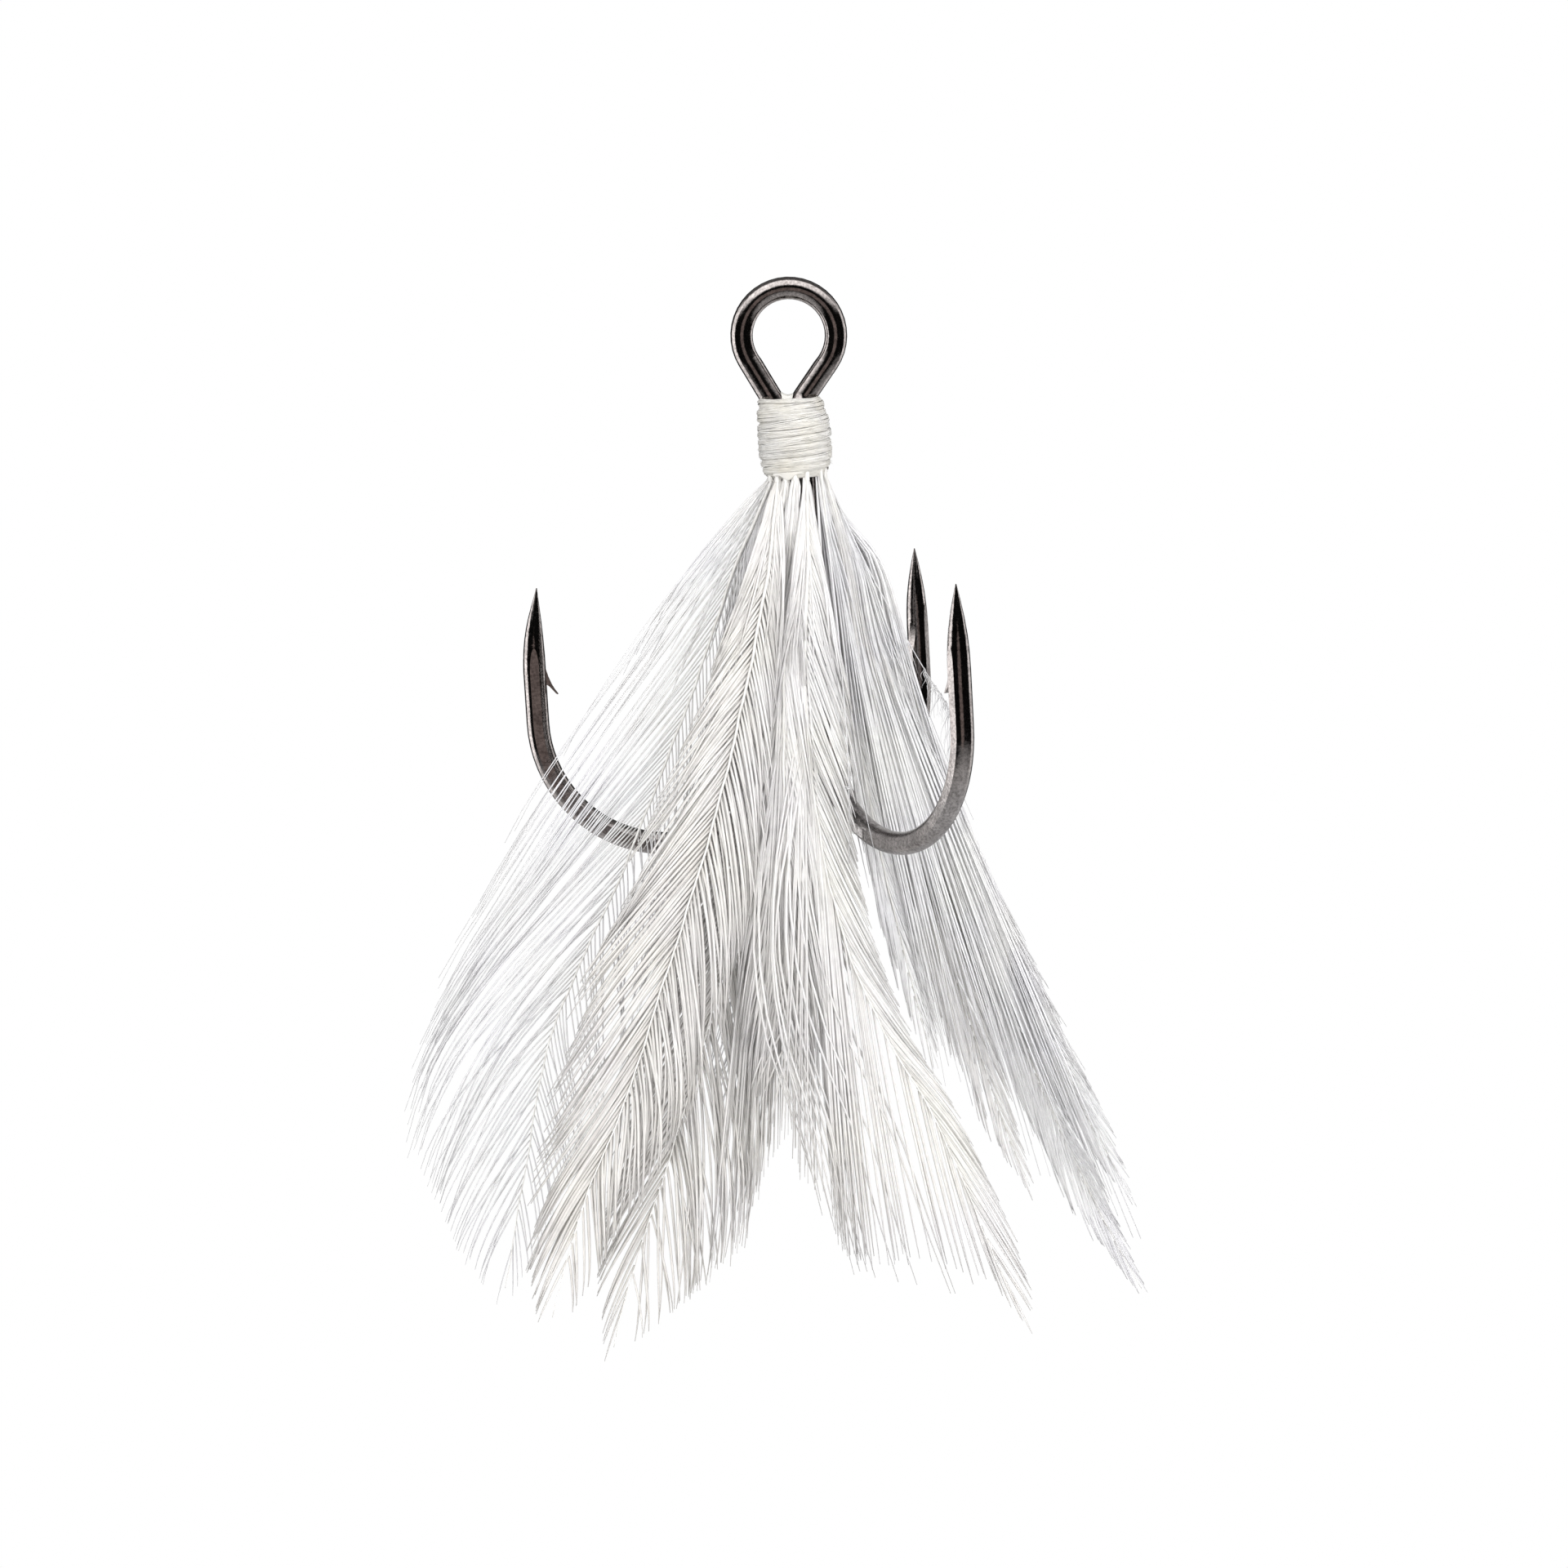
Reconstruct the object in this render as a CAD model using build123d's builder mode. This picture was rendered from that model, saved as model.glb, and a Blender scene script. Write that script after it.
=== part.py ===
from build123d import *
import os
from math import cos, sin, tan, radians

# Feathered treble hook, in millimetres.
# Origin: centre of the eye. +Z runs up out of the eye, the shanks hang down
# towards -Z, and the eye's hole runs along Y. Front is -Y, left is -X.
# Directions around the axis are in degrees, anticlockwise from +X.

# ------------------------------------------------------------ wire and eye
WIRE_R = 0.47            # hook wire radius
EYE_LINE_R = 1.93        # centre line of the eye ring
EYE_HOLE_R = 1.48        # clean hole a ring or snap passes through
EYE_CUT_HALF = 2         # half length of the cut that clears the hole
LEFT_LEG_DEG = 28.0      # lean of the left eye leg from the shank line
RIGHT_LEG_DEG = 37.5     # lean of the right eye leg
EYE_LEG_Z = -2.50        # foot of the straight eye legs

# ------------------------------------------------------------------- hooks
CLUSTER_R = 0.553        # radius the three shanks stand on
BACK_DEG = 63.0          # direction of the single hook
LEFT_DEG = BACK_DEG + 120    # first hook of the double wire
FRONT_DEG = LEFT_DEG + 120   # second hook of the double wire
SHANK_TOP_Z = -3.90      # shanks are parallel below this height
SHANK_CHAMFER = 0.15     # top end of the single hook

# direction: bend radius on the centre line, centre height of the bend, height
# of the point, how far the point leans in towards the shank
HOOKS = {
    LEFT_DEG: (5.365, -15.33, -9.73, 0.30),
    FRONT_DEG: (5.12, -15.43, -9.80, -0.07),
    BACK_DEG: (5.22, -15.25, -9.80, -0.10),
}
NEEDLE_Z = -13.20        # where the wire starts to taper
# Needle sections: height, share of the lean, share of the wire radius.
NEEDLE = ((NEEDLE_Z, 0.0, 1.0), (-12.35, 0.09, 0.94), (-11.50, 0.27, 0.76),
          (-10.80, 0.52, 0.51), (-10.20, 0.79, 0.24))
TIP_SHARE = 0.05         # share of the wire radius left at the tip

FORGED_T = 0.86          # bends are forged flat to this thickness
FORGED_TOP_Z = -11.8     # the flats run out on the taper below this height
FORGED_CUT = 0.3         # depth of the cuts that leave the flats
FORGED_IN = 0.75         # the flats start this far outside the shank line
FORGED_MARGIN = 0.8      # the cuts reach this far past the wire's centre line
BARB_TIP_Z = -14.15      # free end of the barb
BARB_OUT = 0.45          # how far the barb stands off the wire
BARB_T = 0.30            # barb thickness across the wire

# ---------------------------------------------- braze, thread, head cement
SEAM_TOP_Z = -6.20       # brazed seam between the shanks
SEAM_BOTTOM_Z = -14.50
SEAM_R = 0.60
SEAM_CLEARANCE = 0.0095

WRAP_IN_R = 1.30         # thread whipping, outer layer
WRAP_T = 0.19
WRAP_TOP_Z = -2.70
WRAP_BOTTOM_Z = -5.80
THREAD_PITCH = 0.34
THREAD_W = 0.33
THREAD_CORNER_R = 0.07
BASE_R = 1.053           # thread base layer over the shanks
BASE_T = 0.05
BASE_TOP_Z = -4.00
BASE_W = 0.30
BASE_GAP = 0.02          # between turns of the base layer

CEMENT_BOTTOM_Z = -3.45
CEMENT_H = 0.98
CEMENT_X = -0.15         # the cement sits a little to the left
CEMENT_RX, CEMENT_RY = 0.62, 0.42
CEMENT_FILLET = 0.15
CEMENT_CLEARANCE = 0.012

# ---------------------------------------------------------------- feathers
ROOT_Z = -5.95           # stems leave the whipping here
STEM_R = 0.11            # stem radius at the root
STEM_TIP_R = 0.035
STEM_SHORT = 0.9         # the stem ends this far above the end of the webs
BUTT_R = 0.10            # stem ends held under the thread
BUTT_TOP_Z = -4.05
BUTT_GAP = 0.05          # between a butt and the stem below it
VANE_T = 0.14            # thickness of the barb webs
VANE_GAP = 0.05          # the webs start this far off the stem
VANE_TRIM = 0.02         # taken off the lower end of the webs
STEM_STATIONS = 15       # corners of the stem line
DEPTH_STATIONS = 12      # corners of the depth profile
END_SPACING = 0.3        # stations nearer than this to an end are skipped
SHEET_HALF_W = 24        # half width of the uncut feather sheet
OUTLINE_REACH = 14       # how far out from the axis the outlines are cut

# Directions the flat sides of the feathers face, one for each group.
FRONT_FACING = 270.0
RIGHT_FACING = 330.0
BACK_FACING = (LEFT_DEG + BACK_DEG) / 2

# Depth profiles are given at these heights, measured outward from the axis.
DEPTH_Z = (ROOT_Z, -7.5, -9.5, -13.0, -18.0, -24.0, -32.0, -44.0)

# name: facing direction, depth outward at DEPTH_Z, stem line (sideways,
# height), half widths of the two webs (height, left, right). Left and right
# are as seen from outside, and sideways counts to the right.
FEATHERS = {
    # ------------------------------------------------ gap at the front left
    "front_1": (FRONT_FACING, (0.50, 0.85, 1.15, 1.45, 1.85, 2.60, 4.00, 6.30),
        ((-1.07, -5.95), (-1.85, -7.5), (-2.85, -9.5), (-4.25, -13.0), (-5.55, -16.0),
         (-6.75, -18.6), (-8.25, -21.8), (-10.30, -25.6), (-11.70, -28.8),
         (-12.60, -32.6), (-13.30, -35.6), (-14.00, -38.8)),
        ((-7.6, 0.18, 0.16), (-9.0, 0.95, 0.45), (-12.0, 2.00, 0.95), (-16.0, 3.30, 1.60),
         (-20.0, 4.30, 2.10), (-24.0, 4.80, 2.50), (-28.0, 4.50, 2.70), (-31.5, 4.50, 2.40),
         (-34.0, 3.20, 1.80), (-37.0, 1.40, 0.90), (-38.7, 0.15, 0.12))),
    "front_2": (FRONT_FACING, (1.09, 1.25, 1.50, 1.85, 2.30, 3.10, 4.60, 7.00),
        ((-0.46, -5.95), (-0.80, -7.8), (-1.10, -10.0), (-1.50, -14.4), (-2.50, -19.5),
         (-3.60, -23.7), (-4.90, -27.8), (-6.95, -33.4), (-8.60, -37.6), (-9.80, -41.3)),
        ((-7.6, 0.14, 0.14), (-9.0, 0.40, 0.35), (-12.0, 0.95, 0.80), (-16.0, 1.60, 1.30),
         (-20.0, 2.10, 1.80), (-25.0, 2.50, 2.60), (-30.0, 2.40, 3.00), (-34.0, 2.00, 2.70),
         (-38.0, 1.20, 1.60), (-41.1, 0.12, 0.14))),
    "front_3": (FRONT_FACING, (1.18, 1.50, 1.85, 2.25, 2.75, 3.60, 5.20, 7.70),
        ((-0.08, -5.95), (-0.45, -8.5), (-0.80, -11.5), (-1.15, -16.0), (-1.35, -21.0),
         (-1.65, -26.0), (-2.05, -32.4)),
        ((-8.0, 0.12, 0.12), (-9.0, 0.32, 0.30), (-12.0, 0.90, 0.70), (-16.0, 1.40, 0.95),
         (-20.0, 1.90, 1.15), (-24.0, 2.20, 1.50), (-28.0, 1.80, 1.50), (-30.5, 1.10, 0.90),
         (-32.2, 0.12, 0.12))),
    "front_4": (FRONT_FACING, (1.10, 1.60, 2.20, 2.70, 3.30, 4.30, 6.00, 8.60),
        ((0.42, -5.95), (0.32, -8.0), (0.15, -10.5), (-0.12, -13.0), (-0.18, -16.0),
         (0.12, -20.4), (0.85, -24.4), (2.10, -27.9), (4.15, -31.9), (6.05, -37.0),
         (7.40, -40.7)),
        ((-8.0, 0.14, 0.30), (-9.0, 0.32, 0.75), (-12.0, 0.80, 1.25), (-16.0, 1.25, 1.40),
         (-20.5, 1.80, 1.15), (-24.0, 2.50, 1.10), (-28.0, 3.60, 1.25), (-32.0, 4.40, 1.15),
         (-35.5, 4.00, 1.10), (-38.5, 2.20, 0.60), (-40.5, 0.14, 0.12))),
    "front_5": (FRONT_FACING, (0.86, 1.60, 2.55, 3.15, 3.80, 4.90, 6.80, 9.60),
        ((-0.80, -5.95), (-1.05, -7.5), (-1.35, -9.2), (-2.00, -11.9), (-2.75, -14.7),
         (-3.90, -18.5), (-5.00, -21.6), (-7.00, -26.7), (-8.30, -30.0), (-10.30, -34.2),
         (-12.10, -39.4)),
        ((-7.6, 0.14, 0.14), (-9.0, 0.60, 0.35), (-12.0, 1.20, 0.85), (-16.0, 1.80, 1.40),
         (-20.0, 2.40, 2.00), (-25.0, 2.90, 2.60), (-30.0, 2.80, 2.70), (-34.0, 2.00, 2.10),
         (-37.5, 0.90, 1.00), (-39.2, 0.12, 0.12))),
    # ------------------------------------------------------ gap at the right
    "right_1": (RIGHT_FACING, (1.177, 1.20, 1.30, 1.50, 1.88, 2.55, 3.85, 5.80),
        ((-0.08, -5.95), (0.12, -8.5), (0.45, -12.0), (0.92, -18.4), (1.35, -22.5),
         (1.90, -26.8), (2.35, -31.8)),
        ((-8.0, 0.10, 0.10), (-9.0, 0.20, 0.26), (-12.0, 0.38, 0.80), (-17.0, 0.80, 1.20),
         (-21.4, 1.05, 1.45), (-25.0, 1.00, 1.40), (-28.5, 0.80, 1.05), (-31.6, 0.12, 0.12))),
    "right_2": (RIGHT_FACING, (1.116, 1.45, 1.68, 1.95, 2.38, 3.20, 4.60, 6.90),
        ((0.384, -5.95), (0.70, -9.0), (1.25, -13.0), (2.65, -18.4), (3.70, -23.0),
         (4.75, -28.4), (5.95, -34.0), (7.30, -37.9)),
        ((-8.7, 0.10, 0.10), (-9.6, 0.30, 0.30), (-12.0, 0.70, 0.75), (-17.0, 1.15, 1.25),
         (-22.0, 1.55, 1.60), (-27.0, 1.80, 1.70), (-32.0, 1.60, 1.40), (-35.5, 0.90, 0.80),
         (-37.7, 0.12, 0.12))),
    "right_3": (RIGHT_FACING, (0.877, 1.42, 2.06, 2.40, 2.90, 3.80, 5.40, 8.00),
        ((0.79, -5.95), (0.94, -9.0), (1.62, -12.5), (3.65, -17.0), (5.45, -22.4),
         (6.90, -27.4), (8.20, -32.0), (9.65, -36.0), (11.40, -39.9), (13.60, -43.9)),
        ((-8.6, 0.10, 0.10), (-9.6, 0.30, 0.28), (-12.0, 0.80, 0.70), (-17.0, 1.35, 1.25),
         (-22.0, 1.80, 1.60), (-27.0, 2.00, 1.80), (-33.0, 2.00, 1.60), (-38.0, 1.50, 1.00),
         (-41.5, 0.80, 0.50), (-43.7, 0.12, 0.12))),
    "right_4": (RIGHT_FACING, (0.50, 1.25, 2.50, 2.92, 3.50, 4.50, 6.30, 9.00),
        ((1.07, -5.95), (1.62, -9.0), (2.40, -12.2), (4.40, -19.0), (6.30, -25.6),
         (8.60, -31.3), (10.90, -35.9), (12.60, -39.1)),
        ((-8.6, 0.10, 0.14), (-9.6, 0.30, 0.55), (-12.0, 0.80, 1.20), (-17.0, 1.30, 1.40),
         (-22.0, 1.70, 1.50), (-27.0, 1.90, 1.70), (-32.0, 1.70, 1.60), (-36.0, 1.10, 0.90),
         (-38.9, 0.12, 0.12))),
    # -------------------------------------------------- gap at the back left
    "back_1": (BACK_FACING, (1.05, 1.25, 1.50, 1.85, 2.30, 3.10, 4.60, 7.00),
        ((-0.536, -5.95), (-0.62, -9.0), (-0.80, -13.0), (-1.00, -18.0), (-1.35, -22.0),
         (-2.10, -27.0), (-3.00, -31.4)),
        ((-7.6, 0.14, 0.13), (-9.0, 0.35, 0.32), (-12.0, 0.80, 0.75), (-16.0, 1.25, 1.30),
         (-21.0, 1.45, 1.80), (-25.0, 1.90, 2.10), (-28.5, 1.40, 1.60), (-31.2, 0.12, 0.12))),
    "back_2": (BACK_FACING, (1.18, 1.50, 1.90, 2.35, 2.85, 3.80, 5.40, 8.00),
        ((0.0, -5.95), (0.10, -9.0), (0.28, -13.0), (0.50, -18.0), (0.75, -22.0),
         (1.00, -28.0), (1.15, -34.8)),
        ((-7.6, 0.13, 0.13), (-9.0, 0.35, 0.35), (-12.0, 0.85, 0.85), (-16.0, 1.45, 1.45),
         (-21.0, 2.10, 2.10), (-26.0, 2.50, 2.40), (-30.0, 2.00, 2.00), (-33.0, 1.00, 1.00),
         (-34.6, 0.12, 0.12))),
    "back_3": (BACK_FACING, (1.05, 1.60, 2.30, 2.85, 3.40, 4.50, 6.30, 9.10),
        ((0.536, -5.95), (0.85, -9.0), (1.20, -13.0), (1.75, -18.0), (2.50, -22.0),
         (4.00, -27.0), (6.20, -33.4)),
        ((-7.6, 0.13, 0.14), (-9.0, 0.32, 0.40), (-12.0, 0.80, 0.95), (-16.0, 1.40, 1.60),
         (-21.0, 2.00, 2.10), (-25.0, 2.30, 2.40), (-29.0, 1.80, 1.80), (-32.0, 0.90, 0.90),
         (-33.2, 0.12, 0.12))),
}


# --------------------------------------------------------- geometry helpers
def polar(deg, r, z):
    """Point at radius r and height z in the vertical half plane at deg."""
    return Vector(r * cos(radians(deg)), r * sin(radians(deg)), z)


def radial_plane(deg):
    """Vertical plane through the axis: local x points out along deg, y is up."""
    out = polar(deg, 1, 0)
    return Plane(origin=(0, 0, 0), x_dir=out, z_dir=out.cross(Vector(0, 0, 1)))


def facing_plane(deg):
    """Vertical plane through the axis with its normal along deg, y is up."""
    out = polar(deg, 1, 0)
    return Plane(origin=(0, 0, 0), x_dir=Vector(0, 0, 1).cross(out), z_dir=out)


def start_plane(path):
    """Plane square to the start of a path."""
    return Plane(origin=path @ 0, z_dir=path % 0)


def smooth(points, z):
    """Monotone cubic through (z, value) points."""
    zs, values = zip(*sorted(points))
    if z <= zs[0]:
        return values[0] + (z - zs[0]) * (values[1] - values[0]) / (zs[1] - zs[0])
    if z >= zs[-1]:
        return values[-1]
    spans = range(len(zs) - 1)
    steps = [zs[i + 1] - zs[i] for i in spans]
    slopes = [(values[i + 1] - values[i]) / steps[i] for i in spans]
    inner = [0.0 if a * b <= 0 else 2 * a * b / (a + b) for a, b in zip(slopes, slopes[1:])]
    tangents = [slopes[0]] + inner + [slopes[-1]]
    i = max(j for j in spans if zs[j] <= z)
    t = (z - zs[i]) / steps[i]
    return ((2 * t**3 - 3 * t**2 + 1) * values[i]
            + (t**3 - 2 * t**2 + t) * steps[i] * tangents[i]
            + (-2 * t**3 + 3 * t**2) * values[i + 1]
            + (t**3 - t**2) * steps[i] * tangents[i + 1])


def along(line, z):
    """Value of a broken line of (z, value) points, z falling."""
    for (za, va), (zb, vb) in zip(line, line[1:]):
        if z >= zb:
            return va + (vb - va) * (z - za) / (zb - za)
    return line[-1][1]


def heights(top, bottom, count):
    return [top + (bottom - top) * i / (count - 1) for i in range(count)]


# ------------------------------------------------------------ hook outlines
def hook_points(deg):
    """Taper start, bend start, bottom and end, and shank top of one hook."""
    bend_r, bend_z = HOOKS[deg][:2]
    return (polar(deg, CLUSTER_R + 2 * bend_r, NEEDLE_Z),
            polar(deg, CLUSTER_R + 2 * bend_r, bend_z),
            polar(deg, CLUSTER_R + bend_r, bend_z - bend_r),
            polar(deg, CLUSTER_R, bend_z),
            polar(deg, CLUSTER_R, SHANK_TOP_Z))


def draw_hook(points):
    """Straight, bend, straight through five points, in either direction."""
    first, bend_start, bend_middle, bend_end, last = points
    Line(first, bend_start)
    ThreePointArc(bend_start, bend_middle, bend_end)
    Line(bend_end, last)


def needle_sections(deg):
    """Centre and radius of the round sections of a tapered point."""
    bend_r, _, tip_z, tip_lean = HOOKS[deg]
    leg = CLUSTER_R + 2 * bend_r
    rows = NEEDLE + ((tip_z, 1.0, TIP_SHARE),)
    return [(polar(deg, leg - tip_lean * lean, z), WIRE_R * share) for z, lean, share in rows]


def draw_barb(deg):
    """Closed line of the barb in its hook plane: it peels off the inner side
    of the point and its free end looks down and in, towards the shank."""
    inner = CLUSTER_R + 2 * HOOKS[deg][0] - WIRE_R

    def at(out, up):
        return inner + out, BARB_TIP_Z + up

    tip, top, foot = at(-BARB_OUT, 0), at(0.16, 1.75), at(0.14, 0.22)
    Spline(top, at(-0.02, 0.95), at(-0.20, 0.42), tip)
    Spline(tip, at(-0.13, 0.30), at(0.00, 0.40), foot)
    Line(foot, top)


def draw_forged_zone(deg):
    """Outline, in the hook plane, of the part that the forging press flattens."""
    bend_r, bend_z = HOOKS[deg][:2]
    inside = CLUSTER_R + FORGED_IN
    outside = CLUSTER_R + 2 * bend_r + FORGED_MARGIN
    bottom = bend_z - bend_r - FORGED_MARGIN
    with Locations(((inside + outside) / 2, (FORGED_TOP_Z + bottom) / 2)):
        Rectangle(outside - inside, FORGED_TOP_Z - bottom)


def eye_leg(side, lean_deg):
    """Tangent point on the ring, foot of the straight leg, and its direction."""
    lean = radians(lean_deg)
    x, z = EYE_LINE_R * cos(lean), -EYE_LINE_R * sin(lean)
    foot = x - (z - EYE_LEG_Z) * tan(lean)
    return (side * x, 0, z), (side * foot, 0, EYE_LEG_Z), (-side * sin(lean), 0, -cos(lean))


LEFT_LEG = eye_leg(-1, LEFT_LEG_DEG)
RIGHT_LEG = eye_leg(1, RIGHT_LEG_DEG)


def double_path():
    """One wire: left hook, up round the eye, down to the front hook."""
    left_tangent, left_foot, left_down = LEFT_LEG
    right_tangent, right_foot, right_down = RIGHT_LEG
    left_up = (-left_down[0], 0, -left_down[2])
    left, front = hook_points(LEFT_DEG), hook_points(FRONT_DEG)
    with BuildLine() as wire:
        draw_hook(left)
        Spline(left[-1], left_foot, tangents=((0, 0, 1), left_up))
        Line(left_foot, left_tangent)
        ThreePointArc(left_tangent, (0, 0, EYE_LINE_R), right_tangent)
        Line(right_tangent, right_foot)
        Spline(right_foot, front[-1], tangents=(right_down, (0, 0, -1)))
        draw_hook(front[::-1])
    return wire.line


def single_path():
    with BuildLine() as wire:
        draw_hook(hook_points(BACK_DEG))
    return wire.line


# ------------------------------------------------------------------- pieces
def build_hook(label, path, directions, has_eye):
    """Wire swept along path, with a needle, flats and a barb on each hook."""
    with BuildPart() as hook:
        with BuildSketch(start_plane(path)):
            Circle(WIRE_R)
        sweep(path=path)
        if not has_eye:
            chamfer(hook.edges().group_by(Axis.Z)[-1], SHANK_CHAMFER)
        for deg in directions:
            for centre, radius in needle_sections(deg):
                with BuildSketch(Plane(origin=centre, x_dir=(1, 0, 0), z_dir=(0, 0, 1))):
                    Circle(radius)
            loft()
            for side in (-1, 1):
                with BuildSketch(radial_plane(deg).offset(side * FORGED_T / 2)):
                    draw_forged_zone(deg)
                extrude(amount=side * FORGED_CUT, mode=Mode.SUBTRACT)
            with BuildSketch(radial_plane(deg)):
                with BuildLine():
                    draw_barb(deg)
                make_face()
            extrude(amount=BARB_T / 2, both=True)
        if has_eye:
            # the inside of the eye is worn to a clean round land
            with BuildSketch(Plane.XZ):
                Circle(EYE_HOLE_R)
            extrude(amount=EYE_CUT_HALF, both=True, mode=Mode.SUBTRACT)
    hook.part.label = label
    return hook.part


def build_seam():
    """Brazing metal: core and three groove fillets between the shanks."""
    with BuildPart() as seam:
        with BuildSketch(Plane.XY.offset(SEAM_BOTTOM_Z)):
            Circle(SEAM_R)
            with PolarLocations(CLUSTER_R, 3, start_angle=BACK_DEG):
                Circle(WIRE_R + SEAM_CLEARANCE, mode=Mode.SUBTRACT)
        extrude(amount=SEAM_TOP_Z - SEAM_BOTTOM_Z)
    seam.part.label = "braze_seam"
    return seam.part


def build_thread(label, radius, pitch, top_z, thickness, width, corner_r=0):
    """Helical layer of thread that starts at the foot of the whipping."""
    with BuildPart() as thread:
        with BuildLine() as helix:
            Helix(pitch=pitch, height=top_z - WRAP_BOTTOM_Z - width, radius=radius,
                  center=(0, 0, WRAP_BOTTOM_Z + width / 2))
        path = helix.line
        with BuildSketch(Plane(origin=path @ 0, x_dir=(1, 0, 0), z_dir=path % 0)):
            if corner_r:
                RectangleRounded(thickness, width, corner_r)
            else:
                Rectangle(thickness, width)
        sweep(path=path, is_frenet=True)
    thread.part.label = label
    return thread.part


def build_cement():
    """Head cement: fills the V under the eye, cut clear of both eye legs."""
    with BuildPart() as cement:
        with BuildSketch(Plane.XY.offset(CEMENT_BOTTOM_Z)):
            with Locations((CEMENT_X, 0)):
                Ellipse(CEMENT_RX, CEMENT_RY)
        extrude(amount=CEMENT_H)
        fillet(cement.edges().group_by(Axis.Z)[-1], CEMENT_FILLET)
        for (tangent, foot, down), deg in ((LEFT_LEG, LEFT_DEG), (RIGHT_LEG, FRONT_DEG)):
            with BuildLine() as leg:
                Line(tangent, foot)
                Spline(foot, polar(deg, CLUSTER_R, SHANK_TOP_Z), tangents=(down, (0, 0, -1)))
            with BuildSketch(start_plane(leg.line)):
                Circle(WIRE_R + CEMENT_CLEARANCE)
            sweep(path=leg.line, mode=Mode.SUBTRACT)
    cement.part.label = "head_cement"
    return cement.part


def build_butts():
    """Stem ends clamped under the whipping."""
    roots = []
    for facing, depth, stem, _ in FEATHERS.values():
        out = polar(facing, 1, 0)
        root = out * depth[0] + Vector(0, 0, 1).cross(out) * stem[0][0]
        roots.append((root.X, root.Y))
    bottom = ROOT_Z + BUTT_GAP
    with BuildPart() as butts:
        with BuildSketch(Plane.XY.offset(bottom)):
            with Locations(*roots):
                Circle(BUTT_R)
        extrude(amount=BUTT_TOP_Z - bottom)
    butts.part.label = "quill_butts"
    return butts.part


def build_sheet(label, facing, depth_line, half_t, outlines):
    """Sheet that follows depth_line, half_t(z) to each side, cut to outlines."""
    with BuildPart() as sheet:
        with BuildSketch(radial_plane(facing)):
            with BuildLine():
                Polyline(*[(depth + half_t(z), z) for z, depth in depth_line],
                         *[(depth - half_t(z), z) for z, depth in reversed(depth_line)],
                         close=True)
            make_face()
        extrude(amount=SHEET_HALF_W, both=True)
        with BuildSketch(facing_plane(facing)):
            for outline in outlines:
                with BuildLine():
                    Polyline(*outline, close=True)
                make_face()
        extrude(amount=OUTLINE_REACH, mode=Mode.INTERSECT)
    sheet.part.label = label
    return sheet.part


def build_feather(name, facing, depth, stem, web):
    """Stem and webs. Every face is flat: the stem line and the depth profile
    are broken lines, so the stem and its two webs follow each other."""
    web_top, web_end = web[0][0], web[-1][0]
    stem_end = web_end + STEM_SHORT
    stem_zs = heights(ROOT_Z, web_end, STEM_STATIONS)
    stem_points = [(z, sideways) for sideways, z in stem]
    stem_line = [(z, smooth(stem_points, z)) for z in stem_zs]
    depth_points = list(zip(DEPTH_Z, depth))
    depth_line = [(z, smooth(depth_points, z))
                  for z in heights(ROOT_Z, web_end, DEPTH_STATIONS)]

    def stem_r(z):
        return STEM_R + (STEM_TIP_R - STEM_R) * (z - ROOT_Z) / (stem_end - ROOT_Z)

    def web_edge(side, z):
        return along(stem_line, z) + side * (stem_r(max(z, stem_end)) + VANE_GAP)

    # stem: thins to the tip and follows the feather's own curve
    zs = [z for z in stem_zs if z > stem_end + END_SPACING] + [stem_end]
    stem_outline = ([(along(stem_line, z) - stem_r(z), z) for z in zs]
                    + [(along(stem_line, z) + stem_r(z), z) for z in reversed(zs)])

    # webs of barbs: two thin curved sheets, one each side of the stem
    inner_zs = [z for z in stem_zs if web_end + END_SPACING < z < web_top - END_SPACING]
    zs = [web_top] + inner_zs + [web_end + VANE_TRIM]
    web_outlines = []
    for side, column in ((-1, 1), (1, 2)):
        widths = [(row[0], row[column]) for row in web]
        web_outlines.append([(web_edge(side, z), z) for z in zs]
                            + [(web_edge(side, z) + side * smooth(widths, z), z)
                               for z in reversed(zs)])

    return [build_sheet("quill_" + name, facing, depth_line, stem_r, [stem_outline]),
            build_sheet("vane_" + name, facing, depth_line, lambda z: VANE_T / 2, web_outlines)]


pieces = [
    build_hook("double_hook", double_path(), (LEFT_DEG, FRONT_DEG), has_eye=True),
    build_hook("third_hook", single_path(), (BACK_DEG,), has_eye=False),
    build_seam(),
    build_thread("thread_base", radius=BASE_R, pitch=BASE_W + BASE_GAP, top_z=BASE_TOP_Z,
                 thickness=BASE_T, width=BASE_W),
    build_thread("thread_wrap", radius=WRAP_IN_R + WRAP_T / 2, pitch=THREAD_PITCH,
                 top_z=WRAP_TOP_Z, thickness=WRAP_T, width=THREAD_W,
                 corner_r=THREAD_CORNER_R),
    build_cement(),
    build_butts(),
]
for name, feather in FEATHERS.items():
    pieces += build_feather(name, *feather)

os.makedirs("parts", exist_ok=True)
for piece in pieces:
    export_step(piece, "parts/" + piece.label + ".step")
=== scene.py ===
# A treble hook dressed with feathers. The hook hangs along Z with its eye at the top, near
# z = 0; thread binds twelve feathers to it below the eye and they hang down to about -44 mm.
# X is right and -Y is the front, where the camera stands. Modelling lengths are millimetres;
# the stage, lights, camera and shader coordinates are metres.
import math

import bpy
import numpy as np
from mathutils import Matrix, Vector


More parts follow.
